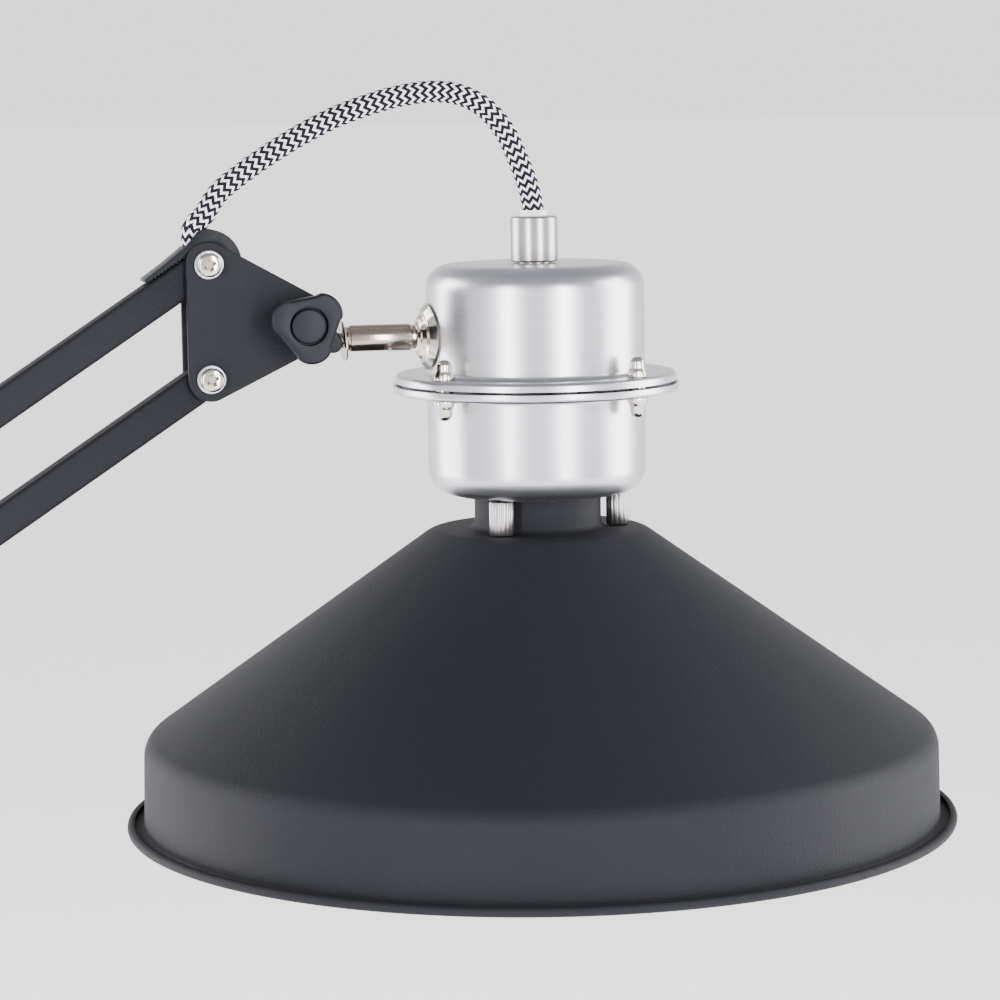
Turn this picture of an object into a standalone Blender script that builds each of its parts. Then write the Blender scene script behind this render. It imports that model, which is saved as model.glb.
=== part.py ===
"""Swing arm desk lamp: round weighted base, two parallelogram arms, spun metal head.

All sizes below are in millimetres and are turned into metres when a mesh is made.
+Z is up, the origin is the centre of the base's underside, and both arms swing in
the XZ plane with the head towards +X.
"""
import math

import bmesh
import bpy
from mathutils import Matrix, Vector

MM = 0.001
GAP = 0.3                                   # running clearance between neighbours

# ---------------------------------------------------------------- driving sizes
ARM_LENGTH = 340.0                          # pivot to pivot, both arms
PIVOT_SPACING = 33.5                        # between the two bars of an arm
BAR_SIZE = 10.0                             # square tube, outside
BAR_WALL = 1.0
LOWER_ANGLE = 112.0                         # lower arm above the +X axis, degrees
UPPER_ANGLE = 33.1                          # upper arm above the +X axis, degrees
PLATE_THICKNESS = 2.0
PLATE_INNER_Y = BAR_SIZE / 2 + GAP
PLATE_OUTER_Y = PLATE_INNER_Y + PLATE_THICKNESS
SCREW_R = 2.0
BORE_R = SCREW_R + 0.3
WASHER_R = 4.25
WASHER_THICKNESS = 0.8
SCREW_HEAD_R = 3.4
SCREW_HEAD_HEIGHT = 2.2
SPRING_Y = 15.2
SPRING_R = 4.4
SPRING_HOOK = 9.0                           # hook length at each end of a spring
POST_END_Y = 19.0
LOWER_SPRING_AT = 150.0                     # along the lower bar
UPPER_SPRING_AT = 130.0                     # along the upper bar
FLEX_R = 3.25

BASE_R = 115.0
BASE_TOP = 19.0
PAD_THICKNESS = 2.5
SOCKET_TOP = 47.0
SWITCH_Y = -72.0
GLAND_Z = 9.0
GLAND_LENGTH = 24.0
BRACKET_PIVOT_Z = 62.0
ELBOW_RISE = 38.0                           # lower pivots to the upper arm's lower pivot

# The head's sizes are heights above the swivel tube's axis, and radii about the
# head's own vertical axis.
HEAD_REACH = 99.3                           # head plate pivots to the head's axis
HEAD_PIVOT_LOW = -10.1
KNOB_X = -72.3
KNOB_Z = 5.5
CUP_R = 32.85
CUP_WALL = 1.0
CUP_TOP = 21.0
UPPER_FLANGE_Z = -11.7
UPPER_FLANGE_R = 42.3
LOWER_FLANGE_Z = -17.5
LOWER_FLANGE_R = 43.0
LOWER_CUP_BOTTOM = -48.0
FLANGE_LIP = 2.5
STUD_CIRCLE_R = 38.0
STUD_ANGLES = (31.3, 128.0, 211.3, 308.0)
SHADE_WALL = 1.0
SHADE_TOP = -58.6
SHADE_NECK_R = 19.1
CONE_APEX_Z = -35.8
CONE_SLOPE = 0.7115
CREASE_R = 120.4
BAND_R = 120.9
RIM_R = 126.0
RIM_BOTTOM = -148.3
RIM_TOP = -145.1
STANDOFF_CIRCLE_R = 24.3
STANDOFF_ANGLES = (230.0, 350.0, 110.0)
STANDOFF_R = 3.6
KNOB_DEPTH = 13.0
KNOB_MEAN_R = 9.9
KNOB_LOBE = 1.5                             # how far the three lobes rise and fall
KNOB_LOBE_TURN = 40.0
KNOB_CAP_R = 5.05
TILT_BLOCK_NOSE = (-62.4, -1.0)
TUBE_R = 4.0
TUBE_LEFT = -57.9
TUBE_RIGHT = -37.3

HEAD_FLEX_SPLITS = (-79.0, -17.0)           # where the head's flex changes bodies
COIL_CENTRE = (-82.0, 182.0)
COIL_MID_R = 39.0
COIL_RING_HALF = 9.75                       # three leads across the winding
COIL_HEIGHT = 13.0                          # two leads high


def polar(angle_deg, length=1.0):
    """Return the (x, z) or (x, y) offset at an angle."""
    angle = math.radians(angle_deg)
    return Vector((length * math.cos(angle), length * math.sin(angle)))


LOWER_DIR = polar(LOWER_ANGLE)
UPPER_DIR = polar(UPPER_ANGLE)
BRACKET_LEFT = Vector((-PIVOT_SPACING / 2, BRACKET_PIVOT_Z))
BRACKET_RIGHT = Vector((PIVOT_SPACING / 2, BRACKET_PIVOT_Z))
ELBOW_LEFT = BRACKET_LEFT + LOWER_DIR * ARM_LENGTH
ELBOW_RIGHT = BRACKET_RIGHT + LOWER_DIR * ARM_LENGTH
ELBOW_LOW = (ELBOW_LEFT + ELBOW_RIGHT) / 2 + Vector((0.0, ELBOW_RISE))
ELBOW_TOP = ELBOW_LOW + Vector((0.0, PIVOT_SPACING))
HEAD_LOW = ELBOW_LOW + UPPER_DIR * ARM_LENGTH
HEAD_TOP = ELBOW_TOP + UPPER_DIR * ARM_LENGTH
HEAD = Vector((HEAD_LOW.x + HEAD_REACH, HEAD_LOW.y - HEAD_PIVOT_LOW))
KNOB = HEAD + Vector((KNOB_X, KNOB_Z))
LOWER_SPRING_TOP = BRACKET_LEFT + LOWER_DIR * LOWER_SPRING_AT
UPPER_SPRING_TOP = ELBOW_TOP + UPPER_DIR * UPPER_SPRING_AT

AXIS_TURN = {
    "Z": Matrix.Identity(3),
    "Y": Matrix(((1, 0, 0), (0, 0, 1), (0, -1, 0))),
    "X": Matrix(((0, 0, 1), (0, 1, 0), (-1, 0, 0))),
}


# ---------------------------------------------------------------- making helpers
def clear_scene():
    """Remove every object so that the script can run again."""
    for old in list(bpy.data.objects):
        bpy.data.objects.remove(old, do_unlink=True)


def material(name, colour, roughness, metallic):
    """Make a Principled material."""
    made = bpy.data.materials.new(name)
    made.use_nodes = True
    shader = made.node_tree.nodes["Principled BSDF"]
    shader.inputs["Base Color"].default_value = (*colour, 1.0)
    shader.inputs["Roughness"].default_value = roughness
    shader.inputs["Metallic"].default_value = metallic
    return made


def add_object(name, bm, finish, origin=(0.0, 0.0, 0.0)):
    """Turn a bmesh in millimetres into an object whose origin is at a point."""
    bmesh.ops.remove_doubles(bm, verts=bm.verts, dist=0.001)
    bmesh.ops.dissolve_degenerate(bm, edges=bm.edges, dist=0.0001)
    bmesh.ops.recalc_face_normals(bm, faces=bm.faces)
    base = Vector(origin)
    for vert in bm.verts:
        vert.co = (vert.co - base) * MM
    mesh = bpy.data.meshes.new(name)
    bm.to_mesh(mesh)
    bm.free()
    mesh.materials.append(finish)
    mesh.shade_smooth()
    mesh.set_sharp_from_angle(angle=math.radians(35))
    made = bpy.data.objects.new(name, mesh)
    made.location = base * MM
    bpy.context.scene.collection.objects.link(made)
    return made


def at(point, y=0.0):
    """Place an (x, z) point of the arm plane in space."""
    return Vector((point[0], y, point[1]))


def turned(name, profile, finish, centre, axis="Z", segments=24, ring=False):
    """Spin a profile of (radius, height) points about an axis through centre."""
    bm = bmesh.new()
    verts = [bm.verts.new((radius, 0.0, height)) for radius, height in profile]
    edges = [bm.edges.new(pair) for pair in zip(verts, verts[1:])]
    if ring:
        edges.append(bm.edges.new((verts[-1], verts[0])))
    bmesh.ops.spin(bm, geom=verts + edges, axis=(0, 0, 1), cent=(0, 0, 0),
                   angle=math.tau, steps=segments, use_merge=True)
    turn = AXIS_TURN[axis].to_4x4()
    bmesh.ops.transform(bm, matrix=Matrix.Translation(Vector(centre)) @ turn,
                        verts=bm.verts)
    return add_object(name, bm, finish, centre)


def circle(centre, radius, count=16, phase=0.0):
    """Return a loop of points round a centre."""
    return [Vector(centre) + polar(phase + 360.0 * i / count, radius) for i in range(count)]


def hull_outline(discs, count=20):
    """Return the outline round several discs, each given as (centre, radius)."""
    bm = bmesh.new()
    for centre, radius in discs:
        for point in circle(centre, radius, count):
            bm.verts.new((point.x, point.y, 0.0))
    result = bmesh.ops.convex_hull(bm, input=bm.verts)
    spare = [g for g in result["geom_interior"] if isinstance(g, bmesh.types.BMVert)]
    bmesh.ops.delete(bm, geom=spare, context="VERTS")
    points = [vert.co.xy.copy() for vert in bm.verts]
    middle = sum(points, Vector((0.0, 0.0))) / len(points)
    bm.free()
    return sorted(points, key=lambda p: math.atan2(p.y - middle.y, p.x - middle.x))


def extruded(name, outline, finish, low, high, holes=(), axis="Y", origin=(0.0, 0.0, 0.0)):
    """Extrude an outline with holes along an axis between two levels."""
    bm = bmesh.new()
    edges = []
    for loop in (outline, *holes):
        verts = [bm.verts.new((p[0], low, p[1])) if axis == "Y"
                 else bm.verts.new((p[0], p[1], low)) for p in loop]
        edges += [bm.edges.new(pair) for pair in zip(verts, verts[1:] + verts[:1])]
    bmesh.ops.triangle_fill(bm, use_beauty=True, edges=edges)
    grown = bmesh.ops.extrude_face_region(bm, geom=bm.faces[:])
    moved = [g for g in grown["geom"] if isinstance(g, bmesh.types.BMVert)]
    step = Vector((0, high - low, 0)) if axis == "Y" else Vector((0, 0, high - low))
    bmesh.ops.translate(bm, vec=step, verts=moved)
    return add_object(name, bm, finish, origin)


def rounded_path(corners, steps=3):
    """Round the corners of a path; each corner is (radius, height, fillet)."""
    path = []
    for index, (r, z, fillet) in enumerate(corners):
        here = Vector((r, z))
        if fillet == 0 or index in (0, len(corners) - 1):
            path.append(here)
            continue
        back = (Vector(corners[index - 1][:2]) - here).normalized()
        ahead = (Vector(corners[index + 1][:2]) - here).normalized()
        half = back.angle(ahead) / 2
        centre = here + (back + ahead).normalized() * (fillet / math.sin(half))
        start = here + back * (fillet / math.tan(half))
        end = here + ahead * (fillet / math.tan(half))
        for step in range(steps + 1):
            mix = start.lerp(end, step / steps) - centre
            path.append(centre + mix.normalized() * fillet)
    return path


def sheet_profile(path, wall):
    """Give a path a wall on its right-hand side and return the closed profile."""
    inner = []
    for index, point in enumerate(path):
        before = path[max(index - 1, 0)]
        after = path[min(index + 1, len(path) - 1)]
        first = (point - before).normalized() if index else (after - point).normalized()
        last = (after - point).normalized() if index < len(path) - 1 else first
        normal_a = Vector((first.y, -first.x))
        normal_b = Vector((last.y, -last.x))
        mitre = (normal_a + normal_b).normalized()
        inner.append(point + mitre * (wall / max(mitre.dot(normal_a), 0.5)))
    return list(path) + inner[::-1]


def combine(target, tool, operation):
    """Apply a Boolean with a tool object that isn't a node of its own."""
    tool.hide_render = True
    tool.display_type = "WIRE"
    boolean = target.modifiers.new(operation.lower(), "BOOLEAN")
    boolean.operation = operation
    boolean.solver = "EXACT"
    boolean.object = tool


def cut(target, cutter):
    """Subtract a cutter object from a target."""
    combine(target, cutter, "DIFFERENCE")


def merge(target, piece):
    """Join a piece to a target as one body."""
    combine(target, piece, "UNION")


def box_mesh(name, low, high, finish, turn=None, centre=None):
    """Make a box between two corners, turned about centre when asked."""
    bm = bmesh.new()
    bmesh.ops.create_cube(bm, size=1.0)
    size = Vector(high) - Vector(low)
    middle = (Vector(high) + Vector(low)) / 2
    for vert in bm.verts:
        vert.co = Vector((vert.co.x * size.x, vert.co.y * size.y, vert.co.z * size.z)) + middle
    if turn is not None:
        spin = Matrix.Rotation(-math.radians(turn), 4, "Y")
        move = Matrix.Translation(Vector(centre))
        bmesh.ops.transform(bm, matrix=move @ spin, verts=bm.verts)
    return add_object(name, bm, finish)


def cord_curve(name, points, radius, finish):
    """Make a plain cord from points on its centre line."""
    curve = bpy.data.curves.new(name, "CURVE")
    curve.dimensions = "3D"
    curve.bevel_depth = radius * MM
    curve.bevel_resolution = 2
    curve.render_resolution_u = 0
    curve.use_fill_caps = True
    spline = curve.splines.new("POLY")
    spline.points.add(len(points) - 1)
    for slot, point in zip(spline.points, points):
        slot.co = (*(Vector(point) * MM), 1.0)
    curve.materials.append(finish)
    made = bpy.data.objects.new(name, curve)
    bpy.context.scene.collection.objects.link(made)
    return made


def smooth_route(points, spacing):
    """Return evenly spaced points on a smooth curve through a route's points."""
    ends = [2 * points[0] - points[1], *points, 2 * points[-1] - points[-2]]
    dense = []
    for a, b, c, d in zip(ends, ends[1:], ends[2:], ends[3:]):
        for step in range(24):
            t = step / 24
            dense.append(0.5 * (2 * b + (c - a) * t + (2 * a - 5 * b + 4 * c - d) * t ** 2
                                + (3 * b - a - 3 * c + d) * t ** 3))
    dense.append(points[-1])
    run = [0.0]
    for here, after in zip(dense, dense[1:]):
        run.append(run[-1] + (after - here).length)
    count = max(3, round(run[-1] / spacing))
    even = []
    for index in range(count + 1):
        want = run[-1] * index / count
        slot = max(i for i, length in enumerate(run) if length <= want + 1e-9)
        slot = min(slot, len(dense) - 2)
        part = (want - run[slot]) / max(run[slot + 1] - run[slot], 1e-9)
        even.append(dense[slot].lerp(dense[slot + 1], part))
    return even


# ---------------------------------------------------------------- finishes
def make_finishes():
    """Return the lamp's materials by name."""
    return {
        "black": material("black_powder_coat", (0.035, 0.036, 0.042), 0.55, 0.0),
        "steel": material("nickel", (0.72, 0.66, 0.60), 0.22, 1.0),
        "aluminium": material("brushed_aluminium", (0.78, 0.79, 0.82), 0.30, 1.0),
        "plastic": material("black_plastic", (0.03, 0.032, 0.038), 0.40, 0.0),
        "flex": material("textile_flex", (0.35, 0.35, 0.35), 0.85, 0.0),
        "iron": material("cast_iron", (0.10, 0.10, 0.10), 0.70, 1.0),
        "rubber": material("rubber_pad", (0.05, 0.05, 0.05), 0.90, 0.0),
        "glass": material("opal_glass", (0.92, 0.91, 0.88), 0.25, 0.0),
        "spring": material("spring_steel", (0.62, 0.62, 0.64), 0.30, 1.0),
    }


# ---------------------------------------------------------------- repeated pieces
def pivot_screw(name, point, finish, front_post=False, back_post=False):
    """Make a screw with its washers and nut, along Y through both plates."""
    face = PLATE_OUTER_Y + GAP
    shoulder = face + WASHER_THICKNESS
    front = [(SCREW_R, -face), (WASHER_R, -face), (WASHER_R, -shoulder),
             (SCREW_HEAD_R, -shoulder), (SCREW_HEAD_R, -shoulder - 1.0),
             (2.2, -shoulder - SCREW_HEAD_HEIGHT)]
    back = [(SCREW_R, face), (WASHER_R, face), (WASHER_R, shoulder),
            (3.5, shoulder), (3.5, shoulder + 2.6), (2.4, shoulder + 3.6)]
    if front_post:
        front = front[:3] + [(SCREW_R, -shoulder), (SCREW_R, -POST_END_Y + 1.5),
                             (3.4, -POST_END_Y + 1.5), (3.4, -POST_END_Y)]
    if back_post:
        back = back[:3] + [(SCREW_R, shoulder), (SCREW_R, POST_END_Y - 1.5),
                           (3.4, POST_END_Y - 1.5), (3.4, POST_END_Y)]
    profile = [(0.0, front[-1][1]), *front[::-1], *back, (0.0, back[-1][1])]
    return turned(name, profile, finish, at(point), axis="Y", segments=12)


def spring_pin(name, point, finish, front_only=False):
    """Make the headed cross pin that carries a bar's springs."""
    end = BAR_SIZE / 2 + 1.5 if front_only else POST_END_Y
    profile = [(0.0, -POST_END_Y), (3.4, -POST_END_Y), (3.4, -POST_END_Y + 1.5),
               (SCREW_R, -POST_END_Y + 1.5), (SCREW_R, end - 1.2), (3.4, end - 1.2),
               (3.4, end), (0.0, end)]
    return turned(name, profile, finish, at(point), axis="Y", segments=12)


def arm_bar(name, start, angle, finish, extra_holes=()):
    """Make a square tube with round ends and cross bores, hollow from end to end."""
    end = Vector(start) + polar(angle, ARM_LENGTH)
    outline = hull_outline([(start, BAR_SIZE / 2), (end, BAR_SIZE / 2)], 16)
    bores = [Vector(start) + polar(angle, along) for along in (0.0, ARM_LENGTH, *extra_holes)]
    bar = extruded(name, outline, finish, -BAR_SIZE / 2, BAR_SIZE / 2,
                   holes=[circle(point, BORE_R, 12) for point in bores], origin=at(start))
    half = BAR_SIZE / 2 - BAR_WALL
    hollow = box_mesh(name + "_hollow", (-BAR_SIZE, -half, -half),
                      (ARM_LENGTH + BAR_SIZE, half, half), finish, angle, at(start))
    cut(bar, hollow)
    return bar


def plate_pair(name, discs, pivots, finish, origin):
    """Make the front and back plates of a joint."""
    outline = hull_outline(discs)
    for side, sign in (("front", -1), ("back", 1)):
        low, high = sorted((sign * PLATE_INNER_Y, sign * PLATE_OUTER_Y))
        extruded(f"{name}_{side}", outline, finish, low, high,
                 holes=[circle(p, BORE_R, 12) for p in pivots], origin=at(origin))


def spring_body(name, start, end, side, finish):
    """Make the plain envelope of one spring's coils between its two hooks."""
    along = (end - start).normalized()
    first = start + along * SPRING_HOOK
    last = end - along * SPRING_HOOK
    cord_curve(name, [at(first, side * SPRING_Y), at(last, side * SPRING_Y)], SPRING_R, finish)


# ---------------------------------------------------------------- sub-assemblies
def build_base(finish):
    """Pad, cast weight, spun cover, swivel socket, switch and lead gland."""
    turned("base_pad", [(0.0, 0.0), (BASE_R - 2.0, 0.0), (BASE_R - 2.0, PAD_THICKNESS),
                        (0.0, PAD_THICKNESS)], finish["rubber"], (0, 0, 0), segments=48)
    weight_low = PAD_THICKNESS + GAP
    turned("base_weight", [(7.0, weight_low), (BASE_R - 7.0, weight_low),
                           (BASE_R - 7.0, 10.0), (BASE_R - 12.0, 14.5), (7.0, 14.5)],
           finish["iron"], (0, 0, 0), segments=40, ring=True)
    cover_path = rounded_path([(9.0, BASE_TOP, 0), (BASE_R, BASE_TOP - 1.0, 7.0),
                               (BASE_R, weight_low, 0)], steps=3)
    cover = turned("base_cover", sheet_profile(cover_path, 1.2), finish["black"],
                   (0, 0, 0), segments=40, ring=True)
    socket = [(8.3, BASE_TOP + GAP), (17.0, BASE_TOP + GAP), (17.0, BASE_TOP + 2.5),
              (11.5, BASE_TOP + 4.5), (11.5, SOCKET_TOP), (8.3, SOCKET_TOP)]
    turned("stem_socket", socket, finish["black"], (0, 0, 0), segments=20, ring=True)

    opening = box_mesh("switch_opening", (-13.3, SWITCH_Y - 7.3, 14.6),
                       (13.3, SWITCH_Y + 7.3, 25.0), finish["plastic"])
    cut(cover, opening)
    weight = bpy.data.objects["base_weight"]
    pocket = box_mesh("switch_pocket", (-14.0, SWITCH_Y - 8.0, 8.0),
                      (14.0, SWITCH_Y + 8.0, 25.0), finish["plastic"])
    cut(weight, pocket)
    housing = box_mesh("switch_housing", (-13.0, SWITCH_Y - 7.0, 8.4),
                       (13.0, SWITCH_Y + 7.0, BASE_TOP + 1.0), finish["plastic"])
    well = box_mesh("switch_well", (-10.5, SWITCH_Y - 5.0, 11.0),
                    (10.5, SWITCH_Y + 5.0, 30.0), finish["plastic"])
    cut(housing, well)
    rocker_pivot = Vector((0.0, SWITCH_Y, BASE_TOP - 2.5))
    rocker_outline = [(-9.9, 16.5), (-8.5, 13.6), (8.5, 13.6), (9.9, 16.5), (9.9, 19.6),
                      (0.0, 18.6), (-9.6, 21.4)]
    extruded("switch_rocker", rocker_outline, finish["plastic"], SWITCH_Y - 4.7,
             SWITCH_Y + 4.7, origin=rocker_pivot)

    hole = turned("gland_hole", [(0.0, -20.0), (4.4, -20.0), (4.4, 20.0), (0.0, 20.0)],
                  finish["plastic"], (0, BASE_R, GLAND_Z), axis="Y", segments=16)
    cut(cover, hole)
    gland = [(0.0, -6.0), (4.0, -6.0), (4.0, 0.4), (6.5, 0.4), (6.5, 4.0), (5.4, 5.0),
             (4.4, GLAND_LENGTH), (0.0, GLAND_LENGTH)]
    turned("base_gland", gland, finish["plastic"], (0, BASE_R, GLAND_Z), axis="Y",
           segments=16)
    notch = box_mesh("gland_notch", (-5.0, BASE_R - 16.0, 4.0),
                     (5.0, BASE_R, 15.5), finish["iron"])
    cut(weight, notch)


def build_lead(finish):
    """Mains lead from the gland to its coil, and the plug beside the coil."""
    desk = FLEX_R + 0.2
    start_y = BASE_R + GLAND_LENGTH + 2 * GAP
    route = [(0.0, start_y, GLAND_Z), (0.0, 144.0, GLAND_Z), (0.8, 153.0, 7.2), (3.0, 169.0, 3.9),
             (3.5, 188.0, desk), (-2.0, 204.0, desk), (-13.0, 218.0, desk),
             (-29.0, 228.5, desk), (-48.0, 234.0, desk), (-66.0, 235.2, desk),
             (-80.0, 234.7, desk)]
    cord_curve("mains_lead", smooth_route([Vector(p) for p in route], 13.0), FLEX_R,
               finish["flex"])
    low = desk - FLEX_R
    high = low + COIL_HEIGHT
    inner, outer = COIL_MID_R - COIL_RING_HALF, COIL_MID_R + COIL_RING_HALF
    bevel = 2.6
    ring = [(inner, low + bevel), (inner + bevel, low), (outer - bevel, low),
            (outer, low + bevel), (outer, high - bevel), (outer - bevel, high),
            (inner + bevel, high), (inner, high - bevel)]
    turned("lead_coil", ring, finish["flex"], (*COIL_CENTRE, 0.0), segments=28, ring=True)

    plug_x = COIL_CENTRE[0] - outer - 14.2
    plug_y = COIL_CENTRE[1] + 2.0
    plug_top = 13.4
    body = hull_outline([((plug_x - 7.5, plug_y - 30.0), 6.0), ((plug_x + 7.5, plug_y - 30.0), 6.0),
                         ((plug_x - 5.0, plug_y - 6.0), 5.0), ((plug_x + 5.0, plug_y - 6.0), 5.0),
                         ((plug_x, plug_y + 4.0), 4.2)], 12)
    plug = extruded("plug", body, finish["plastic"], GAP, plug_top, axis="Z")
    for sign in (-1, 1):
        pin = turned(f"plug_pin_{sign}", [(0.0, -14.0), (2.0, -14.0), (2.4, -12.5),
                                          (2.4, 8.0), (0.0, 8.0)],
                     finish["steel"], (plug_x + sign * 9.5, plug_y - 41.0, 6.9),
                     axis="Y", segments=12)
        merge(plug, pin)


def build_stem(finish):
    """Swivel block with its pin, and the bracket plates that carry the lower arm."""
    block = box_mesh("swivel_block", (-22.0, -BAR_SIZE / 2, SOCKET_TOP + 1.5),
                     (22.0, BAR_SIZE / 2, BRACKET_PIVOT_Z - 6.5), finish["black"])
    pin = turned("swivel_pin", [(0.0, BASE_TOP + 2.0), (7.9, BASE_TOP + 2.0),
                                (7.9, SOCKET_TOP + GAP), (11.0, SOCKET_TOP + GAP),
                                (11.0, SOCKET_TOP + 2.2), (0.0, SOCKET_TOP + 2.2)],
                 finish["steel"], (0, 0, 0), segments=20)
    merge(block, pin)
    discs = [(BRACKET_LEFT, 8.0), (BRACKET_RIGHT, 8.0),
             ((-19.0, SOCKET_TOP + 6.8), 4.0), ((19.0, SOCKET_TOP + 6.8), 4.0)]
    plate_pair("bracket_plate", discs, (BRACKET_LEFT, BRACKET_RIGHT), finish["black"], (0, 0))
    pivot_screw("bracket_screw_left", BRACKET_LEFT, finish["steel"])
    pivot_screw("bracket_screw_right", BRACKET_RIGHT, finish["steel"], True, True)


def build_lower_arm(finish):
    """Two parallel bars, the spring pin and the two springs."""
    arm_bar("lower_bar", BRACKET_LEFT, LOWER_ANGLE, finish["black"], (LOWER_SPRING_AT,))
    arm_bar("lower_link", BRACKET_RIGHT, LOWER_ANGLE, finish["black"])
    spring_pin("lower_spring_pin", LOWER_SPRING_TOP, finish["steel"])
    for side, sign in (("front", -1), ("back", 1)):
        spring_body(f"lower_spring_{side}", BRACKET_RIGHT, LOWER_SPRING_TOP, sign,
                    finish["spring"])


def build_elbow(finish):
    """Plates and four pivots that join the two arms."""
    discs = [(ELBOW_LEFT, 7.5), (ELBOW_RIGHT, 7.5), (ELBOW_LOW, 7.5), (ELBOW_TOP, 7.0)]
    pivots = (ELBOW_LEFT, ELBOW_RIGHT, ELBOW_LOW, ELBOW_TOP)
    plate_pair("elbow_plate", discs, pivots, finish["black"], ELBOW_LEFT)
    for name, point in zip(("left", "right", "low", "top"), pivots):
        pivot_screw(f"elbow_screw_{name}", point, finish["steel"], front_post=name == "low")


def build_upper_arm(finish):
    """Two parallel bars, the spring, its pin and the cable guide on the top bar."""
    arm_bar("upper_bar", ELBOW_TOP, UPPER_ANGLE, finish["black"], (UPPER_SPRING_AT,))
    arm_bar("upper_link", ELBOW_LOW, UPPER_ANGLE, finish["black"])
    spring_pin("upper_spring_pin", UPPER_SPRING_TOP, finish["steel"], front_only=True)
    spring_body("upper_spring", ELBOW_LOW, UPPER_SPRING_TOP, -1, finish["spring"])
    build_cable_guide(finish)


def build_cable_guide(finish):
    """Cap over the top bar's end: an arc round the pivot and a tongue on the bar."""
    side = Vector((-UPPER_DIR.y, UPPER_DIR.x))
    outer_r, inner_r = 10.2, 5.6
    tongue = [(-18.5, 5.35), (-17.5, 5.9), (2.0, 6.9), (5.6, 7.6)]
    arc_from, arc_to, steps = 42.0, -25.0, 7
    arc = [polar(arc_from + (arc_to - arc_from) * i / steps, outer_r)
           for i in range(steps + 1)]
    inner = [polar(arc_to + (90.0 - arc_to) * i / steps, inner_r) for i in range(steps)]
    local = [Vector(p) for p in tongue] + arc + inner + [Vector((0.0, 5.35))]
    outline = [HEAD_TOP + UPPER_DIR * p.x + side * p.y for p in local]
    extruded("cable_guide", outline, finish["plastic"], -BAR_SIZE / 2, BAR_SIZE / 2,
             origin=at(HEAD_TOP))


def build_head_plates(finish):
    """Triangular plates, their screws, and the bolt of the tilt joint."""
    discs = [(HEAD_LOW, 6.6), (HEAD_TOP, 6.6), (KNOB, 9.0)]
    plate_pair("head_plate", discs, (HEAD_LOW, HEAD_TOP, KNOB), finish["black"], HEAD_LOW)
    pivot_screw("head_screw_top", HEAD_TOP, finish["steel"])
    pivot_screw("head_screw_bottom", HEAD_LOW, finish["steel"])
    face = PLATE_OUTER_Y + GAP
    bolt = [(0.0, -15.0), (SCREW_R, -15.0), (SCREW_R, face), (5.5, face), (5.0, face + 2.4),
            (3.0, face + 3.4), (0.0, face + 3.4)]
    turned("tilt_bolt", bolt, finish["steel"], at(KNOB), axis="Y", segments=16)


def build_knob(finish):
    """Three-lobed knob with a push-in cap."""
    back = -PLATE_OUTER_Y - 0.5
    front = back - KNOB_DEPTH
    count = 36
    outline = []
    for index in range(count):
        angle = 360.0 * index / count
        wave = math.cos(math.radians(3 * (angle - KNOB_LOBE_TURN)))
        blunt = math.copysign(abs(wave) ** 0.6, wave)
        outline.append(KNOB + polar(angle, KNOB_MEAN_R + KNOB_LOBE * blunt))
    knob = extruded("tilt_knob", outline, finish["plastic"], front, back, origin=at(KNOB))
    bore = turned("knob_bore", [(0.0, -17.0), (BORE_R, -17.0), (BORE_R, 0.0), (0.0, 0.0)],
                  finish["plastic"], at(KNOB), axis="Y", segments=12)
    cut(knob, bore)
    recess = turned("knob_recess", [(0.0, front - 2.0), (5.4, front - 2.0), (5.4, front + 2.0),
                                    (0.0, front + 2.0)],
                    finish["plastic"], at(KNOB), axis="Y", segments=24)
    cut(knob, recess)
    cap = [(0.0, front - 0.3), (4.2, front - 0.1), (KNOB_CAP_R, front + 0.4),
           (KNOB_CAP_R, front + 1.7), (0.0, front + 1.7)]
    turned("knob_cap", cap, finish["plastic"], at(KNOB), axis="Y", segments=24)


def build_tilt_block(finish):
    """Block held between the plates' noses, and the washer in front of it."""
    nose = HEAD + Vector(TILT_BLOCK_NOSE)
    outline = hull_outline([(KNOB, 8.0), (nose, 2.8)], 24)
    block = extruded("tilt_block", outline, finish["plastic"], -4.7, 4.7,
                     holes=[circle(KNOB, BORE_R, 12)], origin=at(KNOB))
    bore = turned("tilt_block_bore", [(0.0, -66.5), (2.1, -66.5), (2.1, -55.0), (0.0, -55.0)],
                  finish["plastic"], at(HEAD), axis="X", segments=12)
    cut(block, bore)
    washer = [(2.2, -59.05), (6.1, -59.05), (6.1, -58.35), (2.2, -58.35)]
    turned("swivel_washer", washer, finish["steel"], at(HEAD), axis="X", segments=20, ring=True)


def head_ring(name, profile, finish, segments):
    """Spin a closed profile about the head's own axis."""
    return turned(name, profile, finish, at(HEAD), segments=segments, ring=True)


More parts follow.
